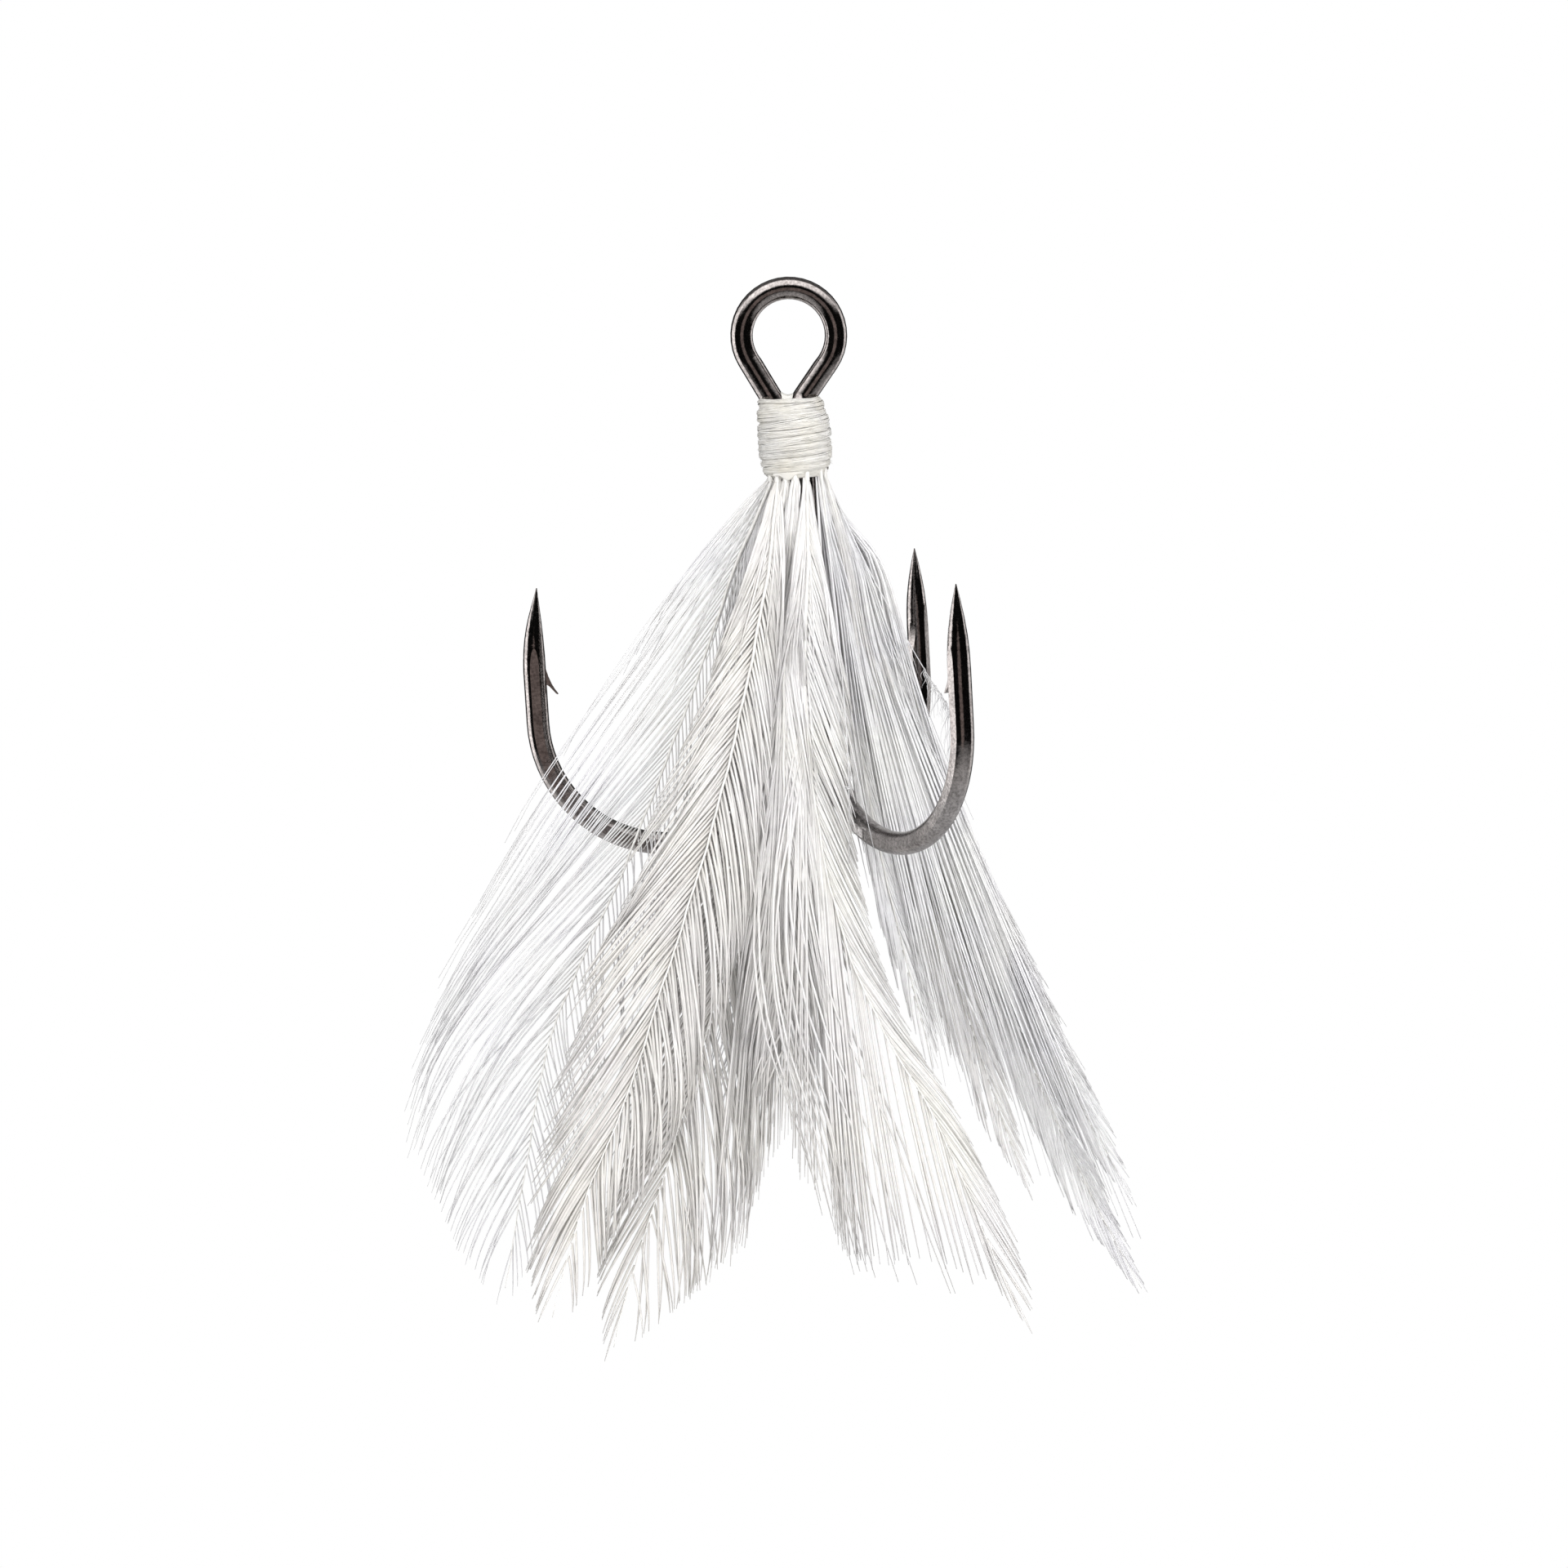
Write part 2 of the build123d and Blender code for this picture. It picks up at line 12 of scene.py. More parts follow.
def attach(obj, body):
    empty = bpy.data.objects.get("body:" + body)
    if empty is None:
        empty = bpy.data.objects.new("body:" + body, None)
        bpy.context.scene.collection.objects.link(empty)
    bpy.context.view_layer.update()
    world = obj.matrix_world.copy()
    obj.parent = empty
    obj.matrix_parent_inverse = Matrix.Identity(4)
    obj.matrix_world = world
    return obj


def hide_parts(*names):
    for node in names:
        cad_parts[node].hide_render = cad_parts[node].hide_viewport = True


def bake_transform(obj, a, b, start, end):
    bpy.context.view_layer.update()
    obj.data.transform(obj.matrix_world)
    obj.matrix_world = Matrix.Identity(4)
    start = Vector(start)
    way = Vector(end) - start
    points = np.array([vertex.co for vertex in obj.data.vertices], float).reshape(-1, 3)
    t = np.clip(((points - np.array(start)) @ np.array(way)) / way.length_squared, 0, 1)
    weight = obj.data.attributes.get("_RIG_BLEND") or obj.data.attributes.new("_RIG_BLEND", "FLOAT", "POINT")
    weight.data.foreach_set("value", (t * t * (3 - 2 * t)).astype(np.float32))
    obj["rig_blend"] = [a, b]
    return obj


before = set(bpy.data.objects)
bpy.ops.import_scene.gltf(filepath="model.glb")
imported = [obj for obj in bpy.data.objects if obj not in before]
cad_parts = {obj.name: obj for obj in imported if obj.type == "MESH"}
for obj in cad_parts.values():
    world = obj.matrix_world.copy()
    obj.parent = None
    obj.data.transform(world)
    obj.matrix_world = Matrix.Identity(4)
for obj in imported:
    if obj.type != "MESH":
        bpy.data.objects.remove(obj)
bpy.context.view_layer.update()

MM = 0.001
UP = (0.0, 0.0, 1.0)
RIGHT = (1.0, 0.0, 0.0)
scene = bpy.context.scene


# ------------------------------------------------------------------ curves
def smooth_curve(keys, values):
    """Monotone cubic through (key, value); takes arrays, straight beyond the ends."""
    order = np.argsort(keys)
    x = np.asarray(keys, float)[order]
    y = np.asarray(values, float)[order]
    gap = np.diff(x)
    rise = np.diff(y) / gap
    slope = np.zeros(len(x))
    slope[0], slope[-1] = rise[0], rise[-1]
    for i in range(1, len(x) - 1):
        if rise[i - 1] * rise[i] > 0:
            slope[i] = 2 * rise[i - 1] * rise[i] / (rise[i - 1] + rise[i])

    def curve(q):
        q = np.asarray(q, float)
        i = np.clip(np.searchsorted(x, q) - 1, 0, len(gap) - 1)
        t = (q - x[i]) / gap[i]
        s = np.clip(t, 0, 1)
        value = ((2 * s**3 - 3 * s**2 + 1) * y[i] + (s**3 - 2 * s**2 + s) * gap[i] * slope[i]
                 + (-2 * s**3 + 3 * s**2) * y[i + 1] + (s**3 - s**2) * gap[i] * slope[i + 1])
        return (value + np.where(t < 0, (q - x[0]) * slope[0], 0)
                + np.where(t > 1, (q - x[-1]) * slope[-1], 0))

    return curve


def column_curve(table, key, value):
    """Smooth curve from one column of a table to another."""
    return smooth_curve([row[key] for row in table], [row[value] for row in table])


def flat_direction(degrees):
    angle = math.radians(degrees)
    return np.array([math.cos(angle), math.sin(angle), 0.0])


def random_shade(rng, middle, spread):
    return float(np.clip(rng.normal(middle, spread), 0, 1))


# ------------------------------------------------------------------ meshes
class Strands:
    """Collects many thin closed strands into one mesh, with per-vertex attributes."""

    def __init__(self):
        self.points, self.quads, self.triangles, self.count = [], [], [], 0
        self.attributes = {"rnd": [], "along": [], "side": []}

    def add(self, path, half_width, half_thick, wide, rnd, side=0.0, ring=6):
        """path is (M, 3), the half sizes (M,); wide is the width direction, one or M of them."""
        steps = len(path)
        tangent = np.gradient(path, axis=0)
        tangent /= np.linalg.norm(tangent, axis=1)[:, None] + 1e-12
        wide = np.asarray(wide)
        wide = wide - (wide * tangent).sum(1)[:, None] * tangent
        wide /= np.linalg.norm(wide, axis=1)[:, None] + 1e-12
        thick = np.cross(wide, tangent)
        angles = 2 * math.pi * np.arange(ring) / ring
        offset_wide = (half_width[:, None] * np.cos(angles))[:, :, None] * wide[:, None, :]
        offset_thick = (half_thick[:, None] * np.sin(angles))[:, :, None] * thick[:, None, :]
        self.points.append((path[:, None, :] + offset_wide + offset_thick).reshape(-1, 3))

        i = np.arange(steps - 1)[:, None] * ring + self.count
        k = np.arange(ring)[None, :]
        k2 = (k + 1) % ring
        self.quads.append(np.stack([i + k, i + k2, i + ring + k2, i + ring + k], -1).reshape(-1, 4))
        first = self.count + np.arange(ring)
        last = first + (steps - 1) * ring
        caps = [[first[0], first[j + 1], first[j]] for j in range(1, ring - 1)]
        caps += [[last[0], last[j], last[j + 1]] for j in range(1, ring - 1)]
        self.triangles.append(np.array(caps))
        self.count += steps * ring
        self.attributes["rnd"].append(np.full(steps * ring, rnd))
        self.attributes["along"].append(np.repeat(np.linspace(0, 1, steps), ring))
        self.attributes["side"].append(np.full(steps * ring, side))

    def object(self, name, material):
        points = np.concatenate(self.points) * MM
        quads = np.concatenate(self.quads)
        triangles = np.concatenate(self.triangles)
        corners = np.concatenate([quads.ravel(), triangles.ravel()]).astype(np.int32)
        starts = np.concatenate([np.arange(len(quads)) * 4,
                                 len(quads) * 4 + np.arange(len(triangles)) * 3]).astype(np.int32)
        mesh = bpy.data.meshes.new(name)
        mesh.vertices.add(len(points))
        mesh.vertices.foreach_set("co", points.astype(np.float32).ravel())
        mesh.loops.add(len(corners))
        mesh.loops.foreach_set("vertex_index", corners)
        mesh.polygons.add(len(starts))
        mesh.polygons.foreach_set("loop_start", starts)
        mesh.update(calc_edges=True)
        mesh.validate()
        mesh.shade_smooth()
        for key, values in self.attributes.items():
            attribute = mesh.attributes.new(key, "FLOAT", "POINT")
            attribute.data.foreach_set("value", np.concatenate(values).astype(np.float32))
        ob = bpy.data.objects.new(name, mesh)
        scene.collection.objects.link(ob)
        mesh.materials.append(material)
        return ob


def mesh_object(name, points, faces, material, smooth=True):
    """Object from points in millimetres."""
    mesh = bpy.data.meshes.new(name)
    mesh.from_pydata([(x * MM, y * MM, z * MM) for x, y, z in points], [], faces)
    mesh.update()
    if smooth:
        mesh.shade_smooth()
    mesh.materials.append(material)
    ob = bpy.data.objects.new(name, mesh)
    scene.collection.objects.link(ob)
    return ob


def ring_faces(rows, ring, wrap=False, flip=False):
    """Skin over rows of rings: joined end to end if wrap is set, else capped."""
    faces = []
    for i in range(rows if wrap else rows - 1):
        here, over = i * ring, (i + 1) % rows * ring
        for k in range(ring):
            k2 = (k + 1) % ring
            if flip:
                faces.append((here + k, over + k, over + k2, here + k2))
            else:
                faces.append((here + k, here + k2, over + k2, over + k))
    if not wrap:
        first = tuple(range(ring))
        last = tuple((rows - 1) * ring + k for k in range(ring))
        faces += [first, last[::-1]] if flip else [first[::-1], last]
    return faces


# ------------------------------------------------------------------ node helpers
class Nodes:
    """A node tree being built. Inputs may be values, sockets, or nodes (first output)."""

    def __init__(self, tree, output_kind):
        tree.nodes.clear()
        self.tree = tree
        self.output = tree.nodes.new(output_kind)

    def add(self, kind, inputs=None, **settings):
        made = self.tree.nodes.new(kind)
        for key, value in settings.items():
            setattr(made, key, value)
        for key, value in (inputs or {}).items():
            if isinstance(value, bpy.types.Node):
                value = value.outputs[0]
            if isinstance(value, bpy.types.NodeSocket):
                self.tree.links.new(value, made.inputs[key])
            else:
                made.inputs[key].default_value = value
        return made

    def finish(self, surface):
        self.tree.links.new(surface.outputs[0], self.output.inputs["Surface"])

    def object_coords(self):
        return self.add("ShaderNodeTexCoord").outputs["Object"]

    def attribute(self, name):
        return self.add("ShaderNodeAttribute", attribute_name=name).outputs["Fac"]

    def noise(self, vector, scale, detail, roughness=0.5):
        return self.add("ShaderNodeTexNoise", {"Vector": vector, "Scale": scale, "Detail": detail,
                                               "Roughness": roughness}).outputs["Fac"]

    def scaled(self, vector, scale):
        return self.add("ShaderNodeMapping", {"Vector": vector, "Scale": scale})

    def ramp(self, factor, stops):
        """Colour ramp; a stop is (position, colour), the colour RGB or one grey."""
        made = self.add("ShaderNodeValToRGB", {"Fac": factor})
        elements = made.color_ramp.elements
        while len(elements) < len(stops):
            elements.new(0.5)
        for element, (position, colour) in zip(elements, stops):
            element.position = position
            element.color = (*colour, 1) if isinstance(colour, tuple) else (*[colour] * 3, 1)
        return made.outputs["Color"]

    def map_range(self, value, from_min, from_max, to_min=0.0, to_max=1.0, kind="LINEAR"):
        return self.add("ShaderNodeMapRange",
                        {"Value": value, "From Min": from_min, "From Max": from_max,
                         "To Min": to_min, "To Max": to_max}, interpolation_type=kind)

    def math(self, operation, *values):
        return self.add("ShaderNodeMath", dict(enumerate(values)), operation=operation)

    def mix_colour(self, factor, first, second, blend="MIX"):
        return self.add("ShaderNodeMix", {0: factor, 6: first, 7: second},
                        data_type="RGBA", blend_type=blend).outputs[2]

    def multiply(self, first, second):
        return self.mix_colour(1.0, first, second, blend="MULTIPLY")

    def mix_shader(self, factor, first, second):
        return self.add("ShaderNodeMixShader", {0: factor, 1: first, 2: second})

    def bump(self, height, strength, distance, **more):
        return self.add("ShaderNodeBump",
                        {"Height": height, "Strength": strength, "Distance": distance, **more})

    def principled(self, colour, roughness, normal, **more):
        """Extra inputs are named with underscores for spaces."""
        extra = {key.replace("_", " "): value for key, value in more.items()}
        return self.add("ShaderNodeBsdfPrincipled",
                        {"Base Color": colour, "Roughness": roughness, "Normal": normal, **extra})

    def with_glow(self, surface, colour, share):
        """Lets a share of the light through the surface."""
        through = self.add("ShaderNodeBsdfTranslucent", {"Color": colour})
        return self.mix_shader(share, surface, through)


def new_material(name):
    mat = bpy.data.materials.new(name)
    mat.use_nodes = True
    return mat, Nodes(mat.node_tree, "ShaderNodeOutputMaterial")


# ------------------------------------------------------------------ materials
def barb_material(name, tints, glow, painted_edge_shade_mid, painted_edge_shade_end, lower):
    """Feather barbs: pale keratin with painted shade on the rounded edges that turn from the camera and on
    the lower feather; slightly translucent.
    """
    mat, nodes = new_material(name)
    shade = nodes.attribute("rnd")
    along = nodes.attribute("along")
    coords = nodes.object_coords()
    grain = nodes.noise(coords, scale=2600.0, detail=3.0)
    patches = nodes.noise(coords, scale=260.0, detail=2.0)
    height = nodes.add("ShaderNodeSeparateXYZ", {0: coords}).outputs["Z"]
    # painted shade: from 16 mm to 30 mm below the eye the colour darkens to the lower factor
    low_painted_shade = nodes.map_range(height, from_min=-0.016, from_max=-0.030)
    # painted shade: the colour darkens where the surface turns away from the camera
    facing = nodes.add("ShaderNodeLayerWeight", {"Blend": 0.5}).outputs["Facing"]

    colour = nodes.ramp(shade, list(zip((0.0, 0.5, 1.0), tints)))
    for factor, stops in (
            # darker at the root and the tip of each barb
            (along, [(0.0, (0.86, 0.85, 0.83)), (0.12, (0.97, 0.97, 0.965)), (0.66, 1),
                     (1.0, (0.76, 0.755, 0.755))]),
            # fine grain, then broad violet to cream patches
            (grain, [(0.3, (0.90, 0.90, 0.905)), (0.65, 1)]),
            (patches, [(0.35, (0.955, 0.95, 0.97)), (0.65, (1.0, 0.995, 0.985))]),
            # painted shade on the edges that turn from the camera, then painted shade on the lower feather
            (facing, [(0.0, 1), (0.45, 0.98), (0.75, painted_edge_shade_mid), (1.0, painted_edge_shade_end)]),
            (low_painted_shade, [(0.0, 1), (1.0, lower)])):
        colour = nodes.multiply(colour, nodes.ramp(factor, stops))

    surface = nodes.principled(colour, roughness=0.5,
                               normal=nodes.bump(grain, strength=0.35, distance=0.00001),
                               Specular_IOR_Level=0.35, Sheen_Weight=0.12, Sheen_Roughness=0.5)
    nodes.finish(nodes.with_glow(surface, colour, glow))
    return mat


def wire_material():
    """Black nickel on drawn wire: a mottled dark mirror, duller at the worn bends and greyer there with a
    painted reflection.
    """
    mat, nodes = new_material("black_nickel_wire")
    coords = nodes.object_coords()
    place = nodes.add("ShaderNodeSeparateXYZ", {0: coords}).outputs
    mottle = nodes.noise(coords, scale=1500.0, detail=5.0, roughness=0.6)
    fine = nodes.noise(coords, scale=5200.0, detail=4.0, roughness=0.55)
    broad = nodes.noise(coords, scale=420.0, detail=3.0)
    finest = nodes.noise(coords, scale=9500.0, detail=3.0, roughness=0.6)

    # wear sets in low on the wire, with an uneven upper limit, and more toward the right; its lighter colour
    # is partly wear and partly a painted reflection of the pale surroundings below
    uneven_height = nodes.math("MULTIPLY_ADD", broad, 0.0035, place["Z"])
    at_bend = nodes.map_range(uneven_height, from_min=-0.0145, from_max=-0.0172,
                              kind="SMOOTHSTEP")
    toward_right = nodes.map_range(place["X"], from_min=-0.0100, from_max=-0.0030,
                                   to_min=0.10, to_max=0.80)
    wear_and_painted_reflection = nodes.math("MULTIPLY", at_bend, toward_right)

    plate = nodes.ramp(mottle, [(0.28, (0.235, 0.215, 0.21)), (0.52, (0.31, 0.285, 0.277)),
                                (0.75, (0.40, 0.37, 0.36))])
    # painted reflection as well as wear: this colour is lighter than the plate
    worn_with_painted_reflection = nodes.ramp(mottle, [(0.30, (0.25, 0.24, 0.238)), (0.70, (0.42, 0.406, 0.406))])
    grain = nodes.ramp(finest, [(0.36, (0.66, 0.64, 0.63)), (0.50, 0.95),
                                (0.64, (1.22, 1.20, 1.19))])
    colour = nodes.multiply(nodes.mix_colour(wear_and_painted_reflection, plate, worn_with_painted_reflection), grain)

    polish = nodes.map_range(fine, from_min=0.3, from_max=0.7, to_min=0.07, to_max=0.17)
    wear_roughness = 0.14
    roughness = nodes.math("MULTIPLY_ADD", wear_and_painted_reflection, wear_roughness, polish)
    fine_bump = nodes.bump(fine, strength=0.22, distance=0.00001)
    bump = nodes.bump(mottle, strength=0.35, distance=0.00003, Normal=fine_bump)
    nodes.finish(nodes.principled(colour, roughness, bump, Metallic=1.0))
    return mat


def thread_material():
    """Off-white floss: fine fibres with warmer blotches, a little translucent."""
    mat, nodes = new_material("tying_thread")
    coords = nodes.object_coords()
    strand_shade = nodes.attribute("rnd")
    fibre = nodes.noise(nodes.scaled(coords, (1, 1, 7)), scale=2400.0, detail=5.0, roughness=0.65)
    blotch = nodes.noise(coords, scale=700.0, detail=3.0)
    colour = nodes.ramp(fibre, [(0.32, (0.52, 0.51, 0.49)), (0.5, (0.71, 0.70, 0.682)),
                                (0.70, (0.82, 0.813, 0.797))])
    colour = nodes.multiply(colour, nodes.ramp(blotch, [(0.35, (0.97, 0.95, 0.89)), (0.6, 1)]))
    colour = nodes.multiply(colour, nodes.ramp(strand_shade, [(0.0, (0.88, 0.87, 0.85)), (1.0, 1)]))
    surface = nodes.principled(colour, roughness=0.5,
                               normal=nodes.bump(fibre, strength=1.0, distance=0.00004),
                               Sheen_Weight=0.3, Coat_Weight=0.25, Coat_Roughness=0.3)
    nodes.finish(nodes.with_glow(surface, colour, share=0.12))
    return mat


def cement_material():
    """Head cement: glossy, cream and partly clear."""
    mat, nodes = new_material("head_cement_gloss")
    cloud = nodes.noise(nodes.object_coords(), scale=1400.0, detail=3.0)
    colour = nodes.ramp(cloud, [(0.3, (0.74, 0.71, 0.65)), (0.7, (0.84, 0.83, 0.80))])
    nodes.finish(nodes.principled(colour, roughness=0.12,
                                  normal=nodes.bump(cloud, strength=0.3, distance=0.00003),
                                  IOR=1.48, Coat_Weight=0.6, Transmission_Weight=0.25))
    return mat


def quill_material():
    """Stem: pale horn with fine lengthwise streaks."""
    mat, nodes = new_material("quill_horn")
    streaks = nodes.noise(nodes.scaled(nodes.object_coords(), (1, 1, 0.08)),
                          scale=9000.0, detail=3.0)
    colour = nodes.ramp(streaks, [(0.3, (0.72, 0.705, 0.675)), (0.7, (0.90, 0.892, 0.872))])
    surface = nodes.principled(colour, roughness=0.3,
                               normal=nodes.bump(streaks, strength=0.3, distance=0.00001))
    nodes.finish(nodes.with_glow(surface, colour, share=0.2))
    return mat


def braze_material():
    """Dark, slightly rough metal of the seam."""
    mat, nodes = new_material("braze_metal")
    grain = nodes.noise(nodes.object_coords(), scale=2600.0, detail=5.0, roughness=0.6)
    colour = nodes.ramp(grain, [(0.35, (0.07, 0.066, 0.06)), (0.7, (0.17, 0.16, 0.145))])
    nodes.finish(nodes.principled(colour, roughness=0.34, Metallic=1.0,
                                  normal=nodes.bump(grain, strength=0.5, distance=0.00003)))
    return mat


# name: tints from dark to light barbs, then how they are lit:
# light let through, painted edge shade half way and at the rim, painted shade on the lower part
BARB_LOOKS = {
    "warm": (((0.765, 0.752, 0.730), (0.87, 0.86, 0.84), (0.93, 0.922, 0.91)),
             dict(glow=0.23, painted_edge_shade_mid=0.83, painted_edge_shade_end=0.58, lower=(0.90, 0.895, 0.89))),
    "beige": (((0.69, 0.672, 0.645), (0.785, 0.771, 0.747), (0.86, 0.85, 0.83)),
              dict(glow=0.19, painted_edge_shade_mid=0.80, painted_edge_shade_end=0.53, lower=(0.90, 0.895, 0.89))),
    "cool": (((0.72, 0.717, 0.725), (0.82, 0.817, 0.818), (0.89, 0.886, 0.887)),
             dict(glow=0.26, painted_edge_shade_mid=0.66, painted_edge_shade_end=0.40, lower=(0.95, 0.95, 0.955))),
    "pale": (((0.80, 0.787, 0.765), (0.88, 0.868, 0.848), (0.93, 0.922, 0.91)),
             dict(glow=0.27, painted_edge_shade_mid=0.92, painted_edge_shade_end=0.74, lower=1.0)),
    "silky": (((0.82, 0.817, 0.82), (0.90, 0.897, 0.897), (0.94, 0.938, 0.938)),
              dict(glow=0.27, painted_edge_shade_mid=0.92, painted_edge_shade_end=0.74, lower=1.0)),
}
BARB_MATERIALS = {name: barb_material("barbs_" + name, tints, **look)
                  for name, (tints, look) in BARB_LOOKS.items()}
WIRE = wire_material()
THREAD = thread_material()
CEMENT = cement_material()
QUILL = quill_material()
BRAZE = braze_material()

for part, part_material in (("double_hook", WIRE), ("third_hook", WIRE), ("braze_seam", BRAZE),
                            ("thread_base", THREAD), ("quill_butts", QUILL)):
    part_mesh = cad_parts[part].data
    part_mesh.materials.clear()
    part_mesh.materials.append(part_material)
    part_mesh.shade_smooth()


# ------------------------------------------------------------------ thread whipping
WRAP_BOTTOM, WRAP_TOP = -5.66, -2.70
WRAP_PITCH = 0.312
STEPS_PER_TURN = 60
WRAP_STRANDS = 9
# height, radius of the wound body
WRAP_BODY = ((-5.9, 1.10), (-5.72, 1.17), (-5.45, 1.29), (-5.0, 1.385), (-4.2, 1.42),
             (-3.3, 1.355), (-2.9, 1.29), (-2.7, 1.25), (-2.5, 1.16))
wrap_radius = column_curve(WRAP_BODY, 0, 1)
# turns laid at a slant: lower z, upper z, number of turns, start angle (radians)
SLANTED_TURNS = ((-5.25, -4.35, 1.0, 3.5), (-4.55, -3.55, 0.9, 3.2), (-3.65, -3.15, 1.0, 3.7),
                 (-5.1, -4.6, 0.8, 0.6), (-4.0, -3.2, 0.8, 1.4))


def wrap_centre_x(z):
    """The winding leans left toward the eye."""
    return -0.13 * np.clip((np.asarray(z) + 3.7) / 1.0, 0, 1) ** 1.3


def around_wrap(radius, angle, z):
    return np.stack([wrap_centre_x(z) + radius * np.cos(angle), radius * np.sin(angle), z], 1)


def wave(angle, rate, amount, seed):
    """Smooth irregular variation: twelve sines with random strengths and phases."""
    rng = np.random.default_rng(seed)
    strength = rng.normal(size=12)
    phase = rng.uniform(0, 2 * math.pi, 12)
    rates = np.linspace(0.13, 1.0, 12) * rate
    return amount * sum(strength[i] * np.sin(rates[i] * angle + phase[i]) for i in range(12)) / 3.4


def add_main_turns(strands, rng):
    """A flat bundle of strands wound bottom to top."""
    turns = (WRAP_TOP - WRAP_BOTTOM) / WRAP_PITCH
    steps = int(turns * STEPS_PER_TURN)
    angle = np.linspace(0, turns * 2 * math.pi, steps)
    base_z = WRAP_BOTTOM + WRAP_PITCH * angle / (2 * math.pi)
    bundle_z = base_z + wave(angle, 1.2, 0.040, 1) + 0.050 * np.cos(angle)
    bundle_radius = wave(angle, 1.6, 0.018, 2)
    bundle_half = 0.150 * (1 + wave(angle, 1.1, 0.14, 3))
    middle = (WRAP_STRANDS - 1) / 2
    for j in range(WRAP_STRANDS):
        across = np.clip((j - middle) / middle + wave(angle, 2.6, 0.16, 20 + j), -1.1, 1.1)
        z = bundle_z + across * bundle_half
        crown = 0.078 * (1 - np.abs(across) ** 2.4)
        radius = wrap_radius(z) + bundle_radius + crown + wave(angle, 3.4, 0.006, 40 + j)
        half = 0.036 * (1 + wave(angle, 2.0, 0.14, 60 + j))
        half[:3] *= np.array([0.2, 0.6, 0.9])
        half[-3:] *= np.array([0.9, 0.6, 0.2])
        strands.add(around_wrap(radius, angle, z), half, half * 0.8, UP, rnd=rng.uniform())


def add_slanted_turns(strands, rng):
    """Later turns that cross the winding and lock it."""
    t = np.linspace(0, 1, 80)
    for j, (low, high, turns, start) in enumerate(SLANTED_TURNS):
        angle = start + t * turns * 2 * math.pi
        for k in range(4):
            z = low + (high - low) * t + (k - 1.5) * 0.058 + 0.02 * np.sin(9 * t + j + k)
            radius = wrap_radius(z) + 0.095 - 0.06 * (np.abs(t - 0.5) * 2) ** 5
            half = 0.030 * np.clip(np.minimum(t, 1 - t) * 12, 0.15, 1)
            strands.add(around_wrap(radius, angle, z), half, half * 0.8, UP,
                        rnd=rng.uniform(), ring=5)


def add_top_turn(strands, rng):
    """The turn laid round the feet of the eye."""
    t = np.linspace(0, 1, 90)
    angle = 2.7 + t * 2 * math.pi * 1.05
    for k in range(4):
        z = -2.665 + 0.035 * k + 0.03 * np.cos(angle - 2.9) + 0.012 * np.sin(5 * angle + k)
        radius = wrap_radius(z) + 0.07 - 0.012 * k
        half = 0.032 * np.clip(np.minimum(t, 1 - t) * 14, 0.15, 1)
        strands.add(around_wrap(radius, angle, z), half, half * 0.85, UP,
                    rnd=rng.uniform(), ring=5)


def add_loose_ends(strands, rng):
    """Fibre ends standing off the winding; the first sixteen are low on the right."""
    t = np.linspace(0, 1, 8)
    for k in range(44):
        low = k < 16
        start = rng.uniform(-0.55, 0.35) if low else rng.uniform(0, 2 * math.pi)
        root_z = rng.uniform(-5.3, -4.2) if low else rng.uniform(-5.5, -2.95)
        angle = start + t * rng.uniform(0.12, 0.34)
        lift = t**1.6 * rng.uniform(0.04, 0.17 if low else 0.11)
        radius = wrap_radius(root_z) + 0.06 + lift
        z = root_z + t * rng.uniform(-0.16, 0.14) + 0.03 * np.sin(t * 5)
        half = 0.011 * (1 - 0.7 * t)
        strands.add(around_wrap(radius, angle, z), half, half, UP, rnd=rng.uniform(), ring=4)


def add_frayed_ends(strands, rng):
    """Short ends hanging over the lower edge, mostly front left."""
    t = np.linspace(0, 1, 8)
    for _ in range(26):
        start = math.radians(rng.uniform(196, 285))
        angle = start + t * rng.normal(0, 0.08)
        z = -5.45 - t * rng.uniform(0.30, 0.62)
        radius = wrap_radius(np.maximum(z, -5.72)) + 0.065 - 0.05 * t
        half = 0.026 * (1 - 0.75 * t**2)
        wide = np.stack([-np.sin(angle), np.cos(angle), 0 * angle], 1)
        strands.add(around_wrap(radius, angle, z), half, half * 0.8, wide,
                    rnd=rng.uniform(), ring=5)


def build_whipping():
    strands = Strands()
    rng = np.random.default_rng(11)
    for add_part in (add_main_turns, add_slanted_turns, add_top_turn, add_loose_ends,
                     add_frayed_ends):
        add_part(strands, rng)
    ob = strands.object("whipping_strands", THREAD)
    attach(ob, "hook")
    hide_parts("thread_wrap")


def build_whipping_core():
    """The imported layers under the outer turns, so no light shows through."""
    ring, inner_radius = 64, 1.06
    profile = [(float(wrap_radius(z)) - 0.004 + 0.008 * math.sin(z * 31), z)
               for z in np.linspace(-5.76, -2.62, 40)]
    profile += [(inner_radius, z) for z in np.linspace(-2.60, -5.78, 6)]
    points = []
    for radius, z in profile:
        for k in range(ring):
            angle = 2 * math.pi * k / ring
            uneven = 1 + 0.006 * math.sin(5 * angle + z * 9)
            points.append((float(wrap_centre_x(z)) + radius * uneven * math.cos(angle),
                           radius * uneven * math.sin(angle), z + 0.02 * math.sin(angle)))
    core = mesh_object("whipping_core", points, ring_faces(len(profile), ring, wrap=True), THREAD)
    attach(core, "hook")


